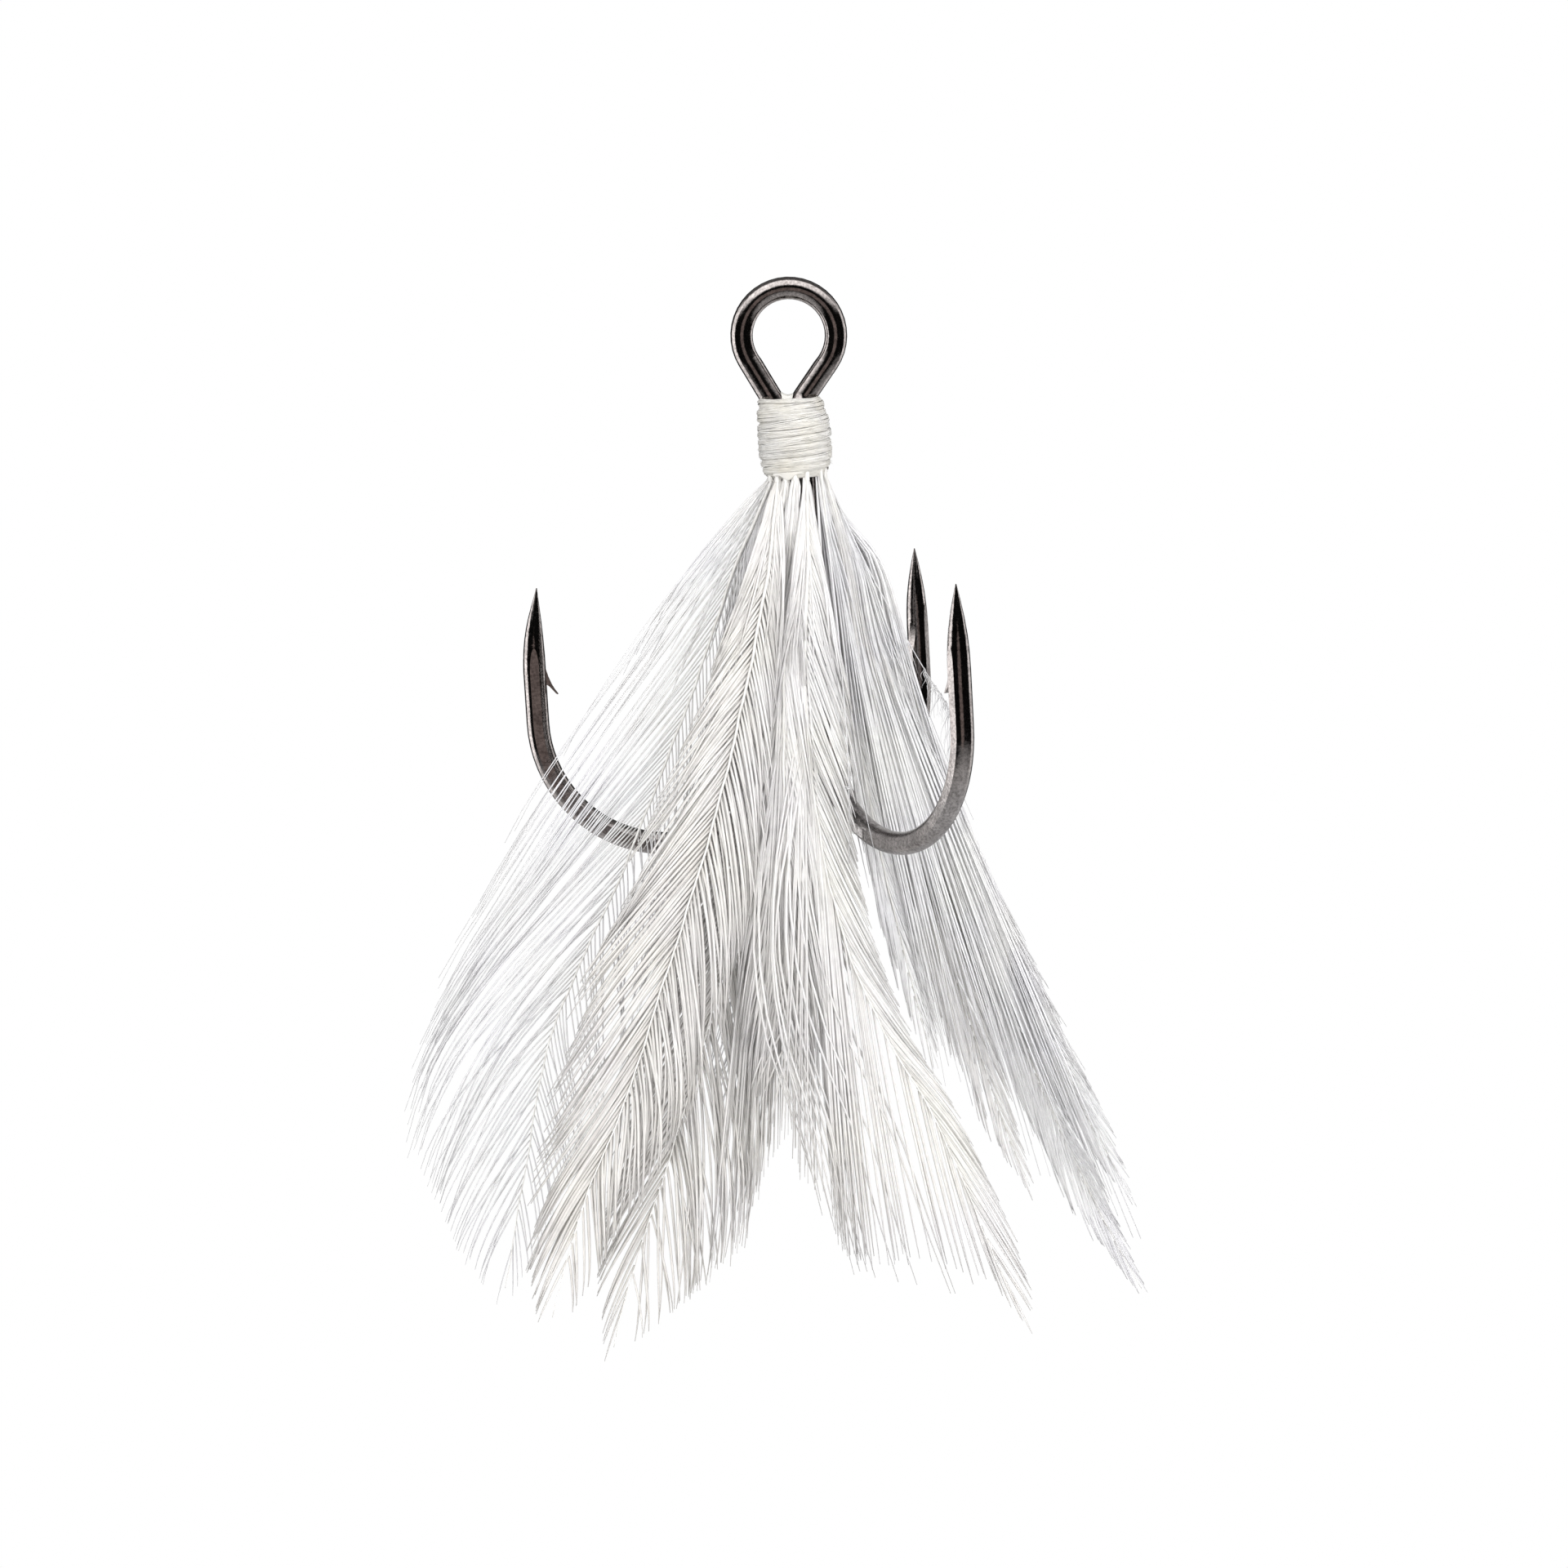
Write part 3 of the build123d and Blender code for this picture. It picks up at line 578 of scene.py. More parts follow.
# ------------------------------------------------------------------ head cement
def build_cement_web():
    """A web between the feet of the eye, with a hollow upper edge."""
    rows, ring = 28, 22
    bottom = -3.30
    middle_top, highest_top = -2.40, -2.04
    half_depth = 0.33
    points = []
    for i in range(rows):
        u = -1 + 2 * i / (rows - 1)
        top = min(middle_top + 1.27 * u * u, highest_top)
        # both side edges follow the feet, which spread upward
        left, right = -0.98 - 0.53 * (top + 2.5), 0.66 + 0.77 * (top + 2.5)
        x = (left + right) / 2 + u * (right - left) / 2
        for k in range(ring):
            angle = 2 * math.pi * k / ring
            across, rise = math.cos(angle), math.sin(angle)
            y = (half_depth * math.copysign(abs(across) ** 0.8, across)
                 * (1 - 0.38 * max(rise, 0)) * (1 - 0.3 * abs(u) ** 3))
            z = ((top + bottom) / 2
                 + math.copysign(abs(rise) ** 0.7, rise) * (top - bottom) / 2)
            points.append((x, y - 0.02, z))
    ob = mesh_object("cement_web", points, ring_faces(rows, ring), CEMENT)
    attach(ob, "hook")
    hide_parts("head_cement")


def build_cement_run():
    """A thin lens that hugs the lower turns, from front left to just right of the middle."""
    rows, ring = 40, 14
    start_degrees, sweep_degrees = 218, 66
    points = []
    for i in range(rows):
        u = i / (rows - 1)
        around = math.radians(start_degrees + sweep_degrees * u)
        centre_z = -5.62 + 0.05 * math.sin(u * 9) + 0.05 * u
        taper = math.sin(math.pi * u) ** 0.5 + 0.02
        half_height = (0.17 + 0.05 * math.sin(u * 13 + 1)) * taper
        half_depth = 0.075 * taper
        for k in range(ring):
            angle = 2 * math.pi * k / ring
            z = centre_z + half_height * math.sin(angle)
            radius = 1.255 + 0.06 * (z + 5.8) + half_depth * math.cos(angle)
            points.append((radius * math.cos(around), radius * math.sin(around), z))
    ob = mesh_object("cement_run", points, ring_faces(rows, ring, flip=True), CEMENT)
    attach(ob, "hook")


build_whipping()
build_whipping_core()
build_cement_web()
build_cement_run()

# ------------------------------------------------------------------ feather table
# Left and right of a feather are as seen from outside, looking at the hook.
#   facing, look  degrees about Z: where the feather lies, and the way its barbs turn flat
#   depth         distance from the hook's axis at each height in DEPTH_Z
#   stem          (sideways place, height)
#   web           (height, left half width, right half width)
#   angles        per side: (height, degrees between barb and stem)
#   spacing       per side: distance between barbs
#   width, taper  width of a barb, and how late it narrows
#   clump, ragged how much barbs gather in locks, how much the locks differ
#   shorter       per side: the most a barb is randomly cut short
#   fan           long fibres from the thread: count, highest tip, lowest tip
#   fan_right     how far the fan spreads on the right, 1 being the whole web
#   mingle        random depth of the fan
#   top           reach of the uppermost barbs
#   lift          distance the lower feather stands further out
#   narrow        factor on sideways spread
#   under_to      where a second layer of barbs underneath ends, if there is one
#   stretch       per side: (height, factor on the web's half width)
#   bow           per side: how quickly barbs swing away from the stem
#   tight         flat feather whose barbs stay within the web
#   by_halving    find the reach of the lower barbs by halving
#   curtain       the left barbs hang almost straight down, to HEM
#   tip_loss      share of barbs left out near the tip
DEPTH_Z = (-5.95, -7.5, -9.5, -13.0, -18.0, -24.0, -32.0, -44.0)
ROOT_Z, LOWEST_Z = -5.95, -46.0
EVEN = ((-5, 1.0), (-50, 1.0))

COMMON = dict(lift=0.0, fan_right=1.0, under_to=None, stretch=(EVEN, EVEN), bow=(1.22, 1.22),
              by_halving=False, curtain=False, tip_loss=0.38)
FRONT = dict(COMMON, facing=270, look=270, tight=False, mingle=0.04, narrow=1.0, ragged=1.0)
SIDE = dict(COMMON, facing=330, look=296, tight=True, mingle=0.34, narrow=0.62, ragged=2.2,
            under_to=-24.0, shorter=(0.2, 0.2), clump=0.5, taper=0.3)
BACK = dict(COMMON, facing=123, look=123, tight=False, mingle=0.04, narrow=1.0, ragged=1.0,
            shorter=(0.1, 0.1), clump=0.45, taper=0.35, spacing=(0.13, 0.13), width=0.12,
            fan=(16, -9, -16), top=7)

FEATHERS = {
    "front_1": dict(
        FRONT, seed=1, colour="cool", depth=(0.50, 0.85, 1.15, 1.45, 1.85, 2.60, 4.00, 6.30),
        stem=((-1.07, -5.95), (-1.85, -7.5), (-2.85, -9.5), (-4.25, -13.0), (-5.55, -16.0),
              (-6.75, -18.6), (-8.25, -21.8), (-10.30, -25.6), (-11.70, -28.8),
              (-12.60, -32.6), (-13.30, -35.6), (-14.00, -38.8)),
        web=((-6.0, 0.25, 0.12), (-7.3, 0.70, 0.30), (-9.0, 1.15, 0.55), (-12.0, 2.10, 1.15),
             (-16.0, 3.40, 2.10), (-20.0, 4.50, 2.60), (-24.0, 5.00, 2.90), (-28.0, 4.80, 3.10),
             (-31.5, 4.70, 2.60), (-34.0, 3.40, 1.90), (-37.0, 1.60, 0.90), (-38.9, 0.10, 0.10)),
        angles=(((-6, 12), (-12, 17), (-20, 20), (-28, 20), (-34, 16), (-39, 12)),
                ((-6, 12), (-12, 18), (-20, 21), (-30, 20), (-39, 12))),
        spacing=(0.112, 0.125), width=0.064, clump=0.28, taper=0.3, shorter=(0.16, 0.1),
        fan=(16, -9, -15), top=12.0, bow=(1.42, 1.22),
        stretch=(((-6, 1.15), (-9, 1.32), (-13, 1.26), (-18, 1.12), (-23, 1.04), (-30, 1.02),
                  (-40, 1.0)), EVEN)),
    "front_2": dict(
        FRONT, seed=2, colour="beige", depth=(1.09, 1.25, 1.50, 1.85, 2.30, 3.10, 4.60, 7.00),
        stem=((-0.46, -5.95), (-0.80, -7.8), (-1.10, -10.0), (-1.50, -14.4), (-2.50, -19.5),
              (-3.60, -23.7), (-4.90, -27.8), (-6.95, -33.4), (-8.60, -37.6), (-9.80, -41.3)),
        web=((-6.0, 0.12, 0.12), (-7.6, 0.25, 0.22), (-9.0, 0.50, 0.42), (-12.0, 1.05, 0.90),
             (-16.0, 1.70, 1.40), (-20.0, 2.20, 1.90), (-25.0, 2.60, 2.60), (-30.0, 2.50, 3.30),
             (-34.0, 2.10, 3.90), (-36.4, 1.55, 3.90), (-38.0, 1.15, 2.95), (-39.6, 0.65, 1.60),
             (-41.3, 0.10, 0.10)),
        angles=(((-6, 12), (-9, 20), (-14, 22), (-24, 18), (-34, 12), (-41, 8)),
                ((-6, 12), (-9, 18), (-14, 20), (-25, 20), (-34, 18), (-41, 12))),
        spacing=(0.115, 0.115), width=0.118, clump=0.45, taper=0.3, lift=0.15, under_to=-33.0,
        shorter=(0.1, 0.14), fan=(16, -9, -16), top=6.0, by_halving=True),
    "front_3": dict(
        FRONT, seed=3, colour="warm", depth=(1.18, 1.50, 1.85, 2.25, 2.75, 3.60, 5.20, 7.70),
        stem=((-0.08, -5.95), (-0.45, -8.5), (-0.80, -11.5), (-1.15, -16.0), (-1.35, -21.0),
              (-1.65, -26.0), (-2.05, -32.4)),
        web=((-6.0, 0.12, 0.12), (-8.0, 0.28, 0.25), (-9.0, 0.42, 0.36), (-12.0, 0.95, 0.75),
             (-16.0, 1.45, 1.05), (-20.0, 1.90, 1.20), (-24.0, 2.20, 1.55), (-28.0, 1.80, 1.50),
             (-30.5, 1.10, 0.90), (-32.4, 0.10, 0.10)),
        angles=(((-6, 7), (-10, 9), (-20, 10), (-32, 10)),) * 2,
        spacing=(0.095, 0.095), width=0.122, clump=0.35, taper=0.35, lift=0.5, under_to=-26.0,
        shorter=(0.15, 0.15), fan=(28, -9, -18), top=6.5),
    "front_4": dict(
        FRONT, seed=4, colour="warm", depth=(1.10, 1.60, 2.20, 2.70, 3.30, 4.30, 6.00, 8.60),
        stem=((0.42, -5.95), (0.32, -8.0), (0.15, -10.5), (-0.12, -13.0), (-0.18, -16.0),
              (0.12, -20.4), (0.85, -24.4), (2.10, -27.9), (4.15, -31.9), (6.05, -37.0),
              (7.40, -40.7)),
        web=((-6.0, 0.12, 0.20), (-8.0, 0.25, 0.45), (-9.0, 0.42, 0.80), (-12.0, 0.90, 1.28),
             (-16.0, 1.35, 1.45), (-20.5, 1.90, 1.22), (-24.0, 2.75, 1.15), (-28.0, 4.20, 0.98),
             (-32.5, 5.60, 0.90), (-35.8, 6.10, 1.02), (-37.6, 5.50, 1.08), (-38.2, 4.00, 0.98),
             (-38.7, 2.30, 0.88), (-39.4, 0.95, 0.62), (-40.7, 0.10, 0.10)),
        angles=(((-6, 9), (-9, 12), (-14, 13), (-20, 16), (-25, 21), (-30, 22), (-36, 19),
                 (-41, 13)),
                ((-6, 9), (-9, 13), (-14, 14), (-24, 11), (-41, 11))),
        spacing=(0.115, 0.08), width=0.118, clump=0.16, taper=0.8, ragged=0.5, under_to=-23.0,
        shorter=(0.10, 0.08), fan_right=0.25, fan=(34, -9, -19), top=7.0,
        by_halving=True, curtain=True, tip_loss=0.55,
        stretch=(EVEN, ((-6, 0.5), (-9, 0.55), (-10.5, 0.85), (-12.5, 1.30), (-15, 1.24),
                        (-19, 1.14), (-24, 1.0), (-40, 1.0)))),
    "front_5": dict(
        FRONT, seed=5, colour="beige", depth=(0.86, 1.60, 2.55, 3.15, 3.80, 4.90, 6.80, 9.60),
        stem=((-0.80, -5.95), (-1.05, -7.5), (-1.35, -9.2), (-2.00, -11.9), (-2.75, -14.7),
              (-3.90, -18.5), (-5.00, -21.6), (-7.00, -26.7), (-8.30, -30.0), (-10.30, -34.2),
              (-12.10, -39.4)),
        web=((-6.0, 0.22, 0.10), (-7.3, 0.42, 0.20), (-9.0, 0.75, 0.40), (-12.0, 1.30, 0.95),
             (-16.0, 1.90, 1.50), (-20.0, 2.50, 2.10), (-25.0, 3.00, 2.70), (-30.0, 2.90, 2.80),
             (-34.0, 2.10, 2.20), (-37.5, 1.00, 1.10), (-39.4, 0.10, 0.10)),
        angles=(((-6, 14), (-8, 22), (-12, 26), (-18, 26), (-26, 20), (-33, 12), (-39, 8)),
                ((-6, 12), (-9, 18), (-14, 21), (-25, 20), (-34, 17), (-39, 12))),
        spacing=(0.135, 0.125), width=0.128, clump=0.4, taper=0.28, under_to=-34.0,
        shorter=(0.08, 0.12), fan=(18, -9, -15), top=7.5),
    "right_1": dict(
        SIDE, seed=6, colour="silky", depth=(1.177, 1.20, 1.30, 1.50, 1.88, 2.55, 3.85, 5.80),
        stem=((-0.08, -5.95), (0.12, -8.5), (0.45, -12.0), (0.92, -18.4), (1.35, -22.5),
              (1.90, -26.8), (2.35, -31.8)),
        web=((-6.0, 0.08, 0.15), (-8.0, 0.15, 0.25), (-9.0, 0.22, 0.40), (-12.0, 0.40, 0.90),
             (-17.0, 0.80, 1.30), (-21.4, 1.05, 1.50), (-25.0, 1.00, 1.40), (-28.5, 0.80, 1.05),
             (-31.8, 0.10, 0.10)),
        angles=(((-6, 7), (-12, 8), (-22, 9), (-32, 9)), ((-6, 7), (-12, 9), (-22, 10), (-32, 9))),
        spacing=(0.1, 0.105), width=0.115, fan=(44, -13, -24), top=9),
    "right_2": dict(
        SIDE, seed=7, colour="pale", depth=(1.116, 1.45, 1.68, 1.95, 2.38, 3.20, 4.60, 6.90),
        stem=((0.384, -5.95), (0.70, -9.0), (1.25, -13.0), (2.65, -18.4), (3.70, -23.0),
              (4.75, -28.4), (5.95, -34.0), (7.30, -37.9)),
        web=((-6.0, 0.10, 0.12), (-8.7, 0.22, 0.24), (-9.6, 0.36, 0.38), (-12.0, 0.72, 0.80),
             (-17.0, 1.20, 1.30), (-22.0, 1.60, 1.60), (-27.0, 1.80, 1.70), (-32.0, 1.60, 1.40),
             (-35.5, 0.90, 0.80), (-37.9, 0.10, 0.10)),
        angles=(((-6, 7), (-12, 9), (-22, 11), (-38, 10)),) * 2,
        spacing=(0.105, 0.105), width=0.118, fan=(46, -13, -26), top=10),
    "right_3": dict(
        SIDE, seed=8, colour="silky", depth=(0.877, 1.42, 2.06, 2.40, 2.90, 3.80, 5.40, 8.00),
        stem=((0.79, -5.95), (0.94, -9.0), (1.62, -12.5), (3.65, -17.0), (5.45, -22.4),
              (6.90, -27.4), (8.20, -32.0), (9.65, -36.0), (11.40, -39.9), (13.60, -43.9)),
        web=((-6.0, 0.10, 0.12), (-8.6, 0.22, 0.22), (-9.6, 0.36, 0.34), (-12.0, 0.80, 0.75),
             (-17.0, 1.40, 1.30), (-22.0, 1.85, 1.70), (-27.0, 2.10, 1.90), (-33.0, 2.10, 1.70),
             (-38.0, 1.60, 1.10), (-41.5, 0.85, 0.60), (-43.8, 0.10, 0.10)),
        angles=(((-6, 7), (-12, 9), (-22, 11), (-44, 9)),) * 2,
        spacing=(0.105, 0.105), width=0.118, fan=(46, -13, -26), top=10),
    "right_4": dict(
        SIDE, seed=9, colour="silky", depth=(0.50, 1.25, 2.50, 2.92, 3.50, 4.50, 6.30, 9.00),
        stem=((1.07, -5.95), (1.62, -9.0), (2.40, -12.2), (4.40, -19.0), (6.30, -25.6),
              (8.60, -31.3), (10.90, -35.9), (12.60, -39.1)),
        web=((-6.0, 0.10, 0.25), (-8.6, 0.24, 0.50), (-9.6, 0.38, 0.75), (-12.0, 0.85, 1.40),
             (-17.0, 1.40, 1.60), (-22.0, 1.75, 1.60), (-27.0, 1.95, 1.80), (-32.0, 1.80, 1.70),
             (-36.0, 1.10, 1.00), (-39.1, 0.10, 0.10)),
        angles=(((-6, 7), (-12, 9), (-22, 11), (-39, 10)),
                ((-6, 8), (-12, 11), (-22, 12), (-39, 10))),
        spacing=(0.105, 0.11), width=0.112, fan=(44, -13, -25), top=10.5,
        stretch=(EVEN, ((-6, 0.5), (-8, 0.28), (-10, 0.28), (-18, 0.42), (-23, 0.92),
                        (-40, 1.0)))),
    "back_1": dict(
        BACK, seed=10, colour="beige", depth=(1.05, 1.25, 1.50, 1.85, 2.30, 3.10, 4.60, 7.00),
        stem=((-0.536, -5.95), (-0.62, -9.0), (-0.80, -13.0), (-1.00, -18.0), (-1.35, -22.0),
              (-2.10, -27.0), (-3.00, -31.4)),
        web=((-6.0, 0.12, 0.12), (-9.0, 0.42, 0.38), (-12.0, 0.85, 0.80), (-16.0, 1.30, 1.35),
             (-21.0, 1.50, 1.85), (-25.0, 1.90, 2.10), (-28.5, 1.40, 1.60), (-31.4, 0.10, 0.10)),
        angles=(((-6, 10), (-12, 17), (-22, 18), (-31, 12)),) * 2),
    "back_2": dict(
        BACK, seed=12, colour="cool", depth=(1.18, 1.50, 1.90, 2.35, 2.85, 3.80, 5.40, 8.00),
        stem=((0.0, -5.95), (0.10, -9.0), (0.28, -13.0), (0.50, -18.0), (0.75, -22.0),
              (1.00, -28.0), (1.15, -34.8)),
        web=((-6.0, 0.12, 0.12), (-9.0, 0.42, 0.42), (-12.0, 0.95, 0.95), (-16.0, 1.55, 1.55),
             (-21.0, 2.20, 2.20), (-26.0, 2.60, 2.50), (-30.0, 2.10, 2.10), (-33.0, 1.00, 1.00),
             (-34.8, 0.10, 0.10)),
        angles=(((-6, 10), (-12, 18), (-22, 20), (-35, 13)),) * 2),
    "back_3": dict(
        BACK, seed=13, colour="warm", depth=(1.05, 1.60, 2.30, 2.85, 3.40, 4.50, 6.30, 9.10),
        stem=((0.536, -5.95), (0.85, -9.0), (1.20, -13.0), (1.75, -18.0), (2.50, -22.0),
              (4.00, -27.0), (6.20, -33.4)),
        web=((-6.0, 0.12, 0.12), (-9.0, 0.40, 0.45), (-12.0, 0.90, 1.00), (-16.0, 1.50, 1.70),
             (-21.0, 2.10, 2.20), (-25.0, 2.40, 2.50), (-29.0, 1.90, 1.90), (-32.0, 0.90, 0.90),
             (-33.4, 0.10, 0.10)),
        angles=(((-6, 10), (-12, 18), (-22, 20), (-33, 13)),) * 2),
}

# the curtain's level hem: height where a barb leaves the stem, tip z, tip x
HEM = ((-10, -31.8, -2.1), (-14, -34.3, -1.1), (-17, -35.9, -0.2), (-20.5, -36.85, 0.6),
       (-23.5, -37.1, 1.6), (-26.6, -37.3, 2.8), (-30.7, -37.9, 5.0), (-34, -38.5, 6.3),
       (-38, -40.0, 7.15), (-41, -43.0, 8.0))
hem_z = column_curve(HEM, 0, 1)
hem_x = column_curve(HEM, 0, 2)


# ------------------------------------------------------------------ feathers
def lift_share(z):
    """How much of a feather's lift applies at a height."""
    return np.clip((-z - 8.5) / 5.5, 0, 1)


def blend_from(ob, feather, top):
    """Hands a strand over from hook to feather in the 7 mm below top (mm)."""
    x, y, z = (float(value) for value in top)
    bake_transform(ob, "hook", "feather_" + feather,
             start=(x * MM, y * MM, z * MM), end=(x * MM, y * MM, (z - 7.0) * MM))


class Feather:
    STEM_TOP = -5.30
    SHORTEST = 2.4      # least drop of a barb before its random changes
    BARB_POINTS = 12
    FAN_POINTS = 16

    def __init__(self, name, spec):
        self.name, self.spec = name, spec
        self.outward = flat_direction(spec["facing"])
        self.across = np.array([-self.outward[1], self.outward[0], 0.0])
        self.flat_to = flat_direction(spec["look"])
        self.spread_way = flat_direction(spec["look"] + 90)
        self.depth_curve = smooth_curve(DEPTH_Z, spec["depth"])
        self.stem_curve = column_curve(spec["stem"], 1, 0)
        # per side: -1 is left, 1 is right
        self.half_width = {-1: column_curve(spec["web"], 0, 1), 1: column_curve(spec["web"], 0, 2)}
        self.angle = {s: column_curve(table, 0, 1) for s, table in zip((-1, 1), spec["angles"])}
        self.stretch = {s: column_curve(table, 0, 1) for s, table in zip((-1, 1), spec["stretch"])}
        self.tip_z = spec["web"][-1][0]
        self.rng = np.random.default_rng(1000 + spec["seed"])
        self.thinning = np.random.default_rng(7000 + spec["seed"])
        self.splay = np.random.default_rng(8000 + spec["seed"])

    def stem(self, z):
        return self.stem_curve(np.minimum(z, ROOT_Z))

    def depth(self, z):
        return self.depth_curve(np.clip(z, LOWEST_Z, ROOT_Z))

    def lift(self, z):
        return self.spec["lift"] * lift_share(z)

    def place(self, sideways, depth, z, offset=None):
        points = self.outward * depth[:, None] + self.across * sideways[:, None]
        if offset is not None:
            points = points + self.spread_way * (offset * self.spec["narrow"])[:, None]
        # drawn in toward the axis where the thread binds it
        points = points * (1 - 0.15 * np.clip((z + 5.92) / 0.35, 0, 1))[:, None]
        return points + np.array(UP) * z[:, None]

    def flat_width(self, points, twist):
        """Width directions that turn a strand's flat face toward flat_to, then twist it."""
        across = np.cross(np.gradient(points, axis=0), self.flat_to[None, :])
        across /= np.linalg.norm(across, axis=1)[:, None]
        return across * math.cos(twist) + self.flat_to[None, :] * math.sin(twist)

    def build_stem(self):
        seed = self.spec["seed"]
        z = np.concatenate([np.linspace(self.STEM_TOP, -9, 24)[:-1],
                            np.linspace(-9, self.tip_z + 0.9, 90)])
        t = (z - self.STEM_TOP) / (self.tip_z - self.STEM_TOP)
        radius = 0.056 * (1 - t) ** 0.8 + 0.012
        wobble = 0.02 * np.sin(z * 1.7 + seed) + 0.012 * np.sin(z * 4.1 + 2 * seed)
        path = self.place(self.stem(z) + wobble * np.clip(t * 8, 0, 1),
                          self.depth(z) + 0.035 + self.lift(z), z)
        strands = Strands()
        strands.add(path, radius, radius * 0.85, self.across, rnd=0.5, ring=8)
        return strands.object("stem_" + self.name, QUILL)

    def barb_drop(self, z, angle, side, lower):
        """How far down a barb reaches so that its tip lies on the web's outline."""
        spec, rng = self.spec, self.rng
        longest = 0.97 * (z - self.tip_z)
        slope = math.tan(angle)

        def edge(drop):
            return float(self.half_width[side](max(z - drop, self.tip_z)))

        if spec["by_halving"] and z < -14:
            low, high = self.SHORTEST, max(longest, self.SHORTEST)
            for _ in range(14):
                drop = 0.5 * (low + high)
                if drop * slope > edge(drop):
                    high = drop
                else:
                    low = drop
        else:
            drop = 3.0
            for _ in range(14):
                drop = 0.5 * drop + 0.5 * edge(drop) / slope
                drop = min(max(drop, self.SHORTEST), longest)
        if z > -9.5:
            # near the thread the barbs run to the feather's own top reach
            nearness = float(np.clip((z + 9.5) / 4.0, 0, 1))
            top_reach = min(longest, spec["top"] * rng.uniform(0.45, 1.15))
            drop = (1 - nearness) * drop + nearness * top_reach
        drop *= 1 + rng.normal(0, 0.04) + 0.05 * lower
        shorter = spec["shorter"][(side + 1) // 2]
        drop *= 1 - shorter * rng.uniform() ** 1.4 * float(np.clip((-z - 9) / 8, 0, 1))
        return max(min(drop, longest + 0.25 * rng.uniform()), 2.2)

    def add_barbs(self, strands, layer, side):
        """One row of barbs down one side; each leaves the stem at z."""
        spec, rng, tip_z = self.spec, self.rng, self.tip_z
        half_width, stretch = self.half_width[side], self.stretch[side]
        spacing = spec["spacing"][(side + 1) // 2]
        bow = spec["bow"][(side + 1) // 2]
        tight, curtain = spec["tight"], spec["curtain"] and side < 0
        cup = 0.004 if tight else 0.026
        t = np.linspace(0, 1, self.BARB_POINTS)
        z = -5.35 - 0.12 * layer
        lowest = max(tip_z + 2.4, spec["under_to"] if layer else -99)
        index = size = 0
        while z > lowest:
            if index == size:
                # start a new lock of barbs that share a shape
                index, size = 0, int(rng.integers(4, 13))
                pinch = spec["clump"] * rng.uniform(0.2, 1.5)
                wider = rng.normal(0, 0.055) * spec["ragged"]
                lower = rng.normal(0, 0.5) * spec["ragged"]
                deeper = rng.normal(0, 0.035 if tight else 0.09)
                curl = rng.normal(0, 0.04)

            # path: zs down, sideways away from the stem
            angle = math.radians(float(self.angle[side](z)) * rng.normal(1, 0.025))
            drop = self.barb_drop(z, angle, side, lower)
            calm = min(1.0, drop / 5.5) ** 1.5
            zs = z - drop * t
            power = bow + rng.normal(0, 0.05)
            reach = float(half_width(max(z - drop, tip_z))) * (1 + wider + rng.normal(0, 0.03))
            reach *= float(stretch(z - 0.6 * drop))
            sideways = reach * (1 - (1 - t) ** power)
            sideways = sideways * np.clip((-5.45 - zs) / 0.75, 0.25, 1)
            pull = (index - (size - 1) / 2) * spacing * pinch * calm * t**2.6
            sideways = sideways + pull * 0.75
            zs = zs + pull * 0.35
            sideways = np.maximum(sideways, 0.0) + 0.010
            if tight:
                edge = ((1.04 * stretch(zs) * half_width(np.maximum(zs, tip_z)) + 0.05)
                        * (1 + 0.8 * np.clip((-zs - 19) / 6, 0, 1)))
                sideways = sideways / (1 + (sideways / edge) ** 4) ** 0.25
            offset = side * sideways + curl * t**3 * drop * 0.2 * calm

            # some barbs are left out, though their random draws still happen
            missing = curtain and z < -22 and rng.uniform() < 0.38
            missing = missing or (z < tip_z + 5.8
                                  and self.thinning.uniform() < spec["tip_loss"])
            if curtain and (z < -17 or (z < -10 and rng.uniform() < 0.4)):
                tip_to_z = float(hem_z(z)) + 0.22 * lower + rng.normal(0, 0.22)
                tip_to_x = float(hem_x(z)) + rng.normal(0, 0.07)
                drop = max(z - tip_to_z, self.SHORTEST)
                zs = z - drop * t
                start_x = float(self.stem(z))
                offset = (start_x + (tip_to_x - start_x) * (t - 0.10 * t * (1 - t))
                          - self.stem(zs) - 0.010)
                sideways = np.abs(offset)

            depth = self.depth(zs) + self.lift(zs) + cup * sideways**2
            depth = depth + (deeper + rng.normal(0, 0.012 if tight else 0.045)) * t
            if not tight:
                depth = depth + 0.17 * self.splay.normal() * t**2.2 * calm
            depth = depth + 0.010 * side - 0.07 * layer * np.clip((-zs - 6.5) / 2.0, 0, 1)
            depth = depth + 0.018 * np.sin(3.1 * t + rng.uniform(0, 6.28)) * min(1.0, drop / 5)
            path = self.place(self.stem(zs), depth, zs, offset)

            slim = min(1.0, 0.5 + drop / 7)
            root = 0.80 + 0.20 * np.clip(t * drop / 0.9, 0, 1)
            tip = 1 - 0.78 * t ** (3.0 + 1.5 * spec["taper"])
            half = 0.5 * spec["width"] * slim * root * tip * rng.uniform(0.86, 1.1)
            half_thick = 0.020 * slim * (1 - 0.75 * t**2)
            twist = 0.34 * side + rng.normal(0, 0.14)
            if not missing:
                strands.add(path, half, half_thick, self.flat_width(path, twist),
                            rnd=random_shade(rng, 0.55, 0.20), side=side)
            index += 1
            # barbs are closer together toward the thread
            density = 0.45 if z > -7.5 else (0.7 if z > -10 else 0.95)
            z -= density * min(spacing / math.sin(angle), 0.50) * rng.uniform(0.85, 1.15)

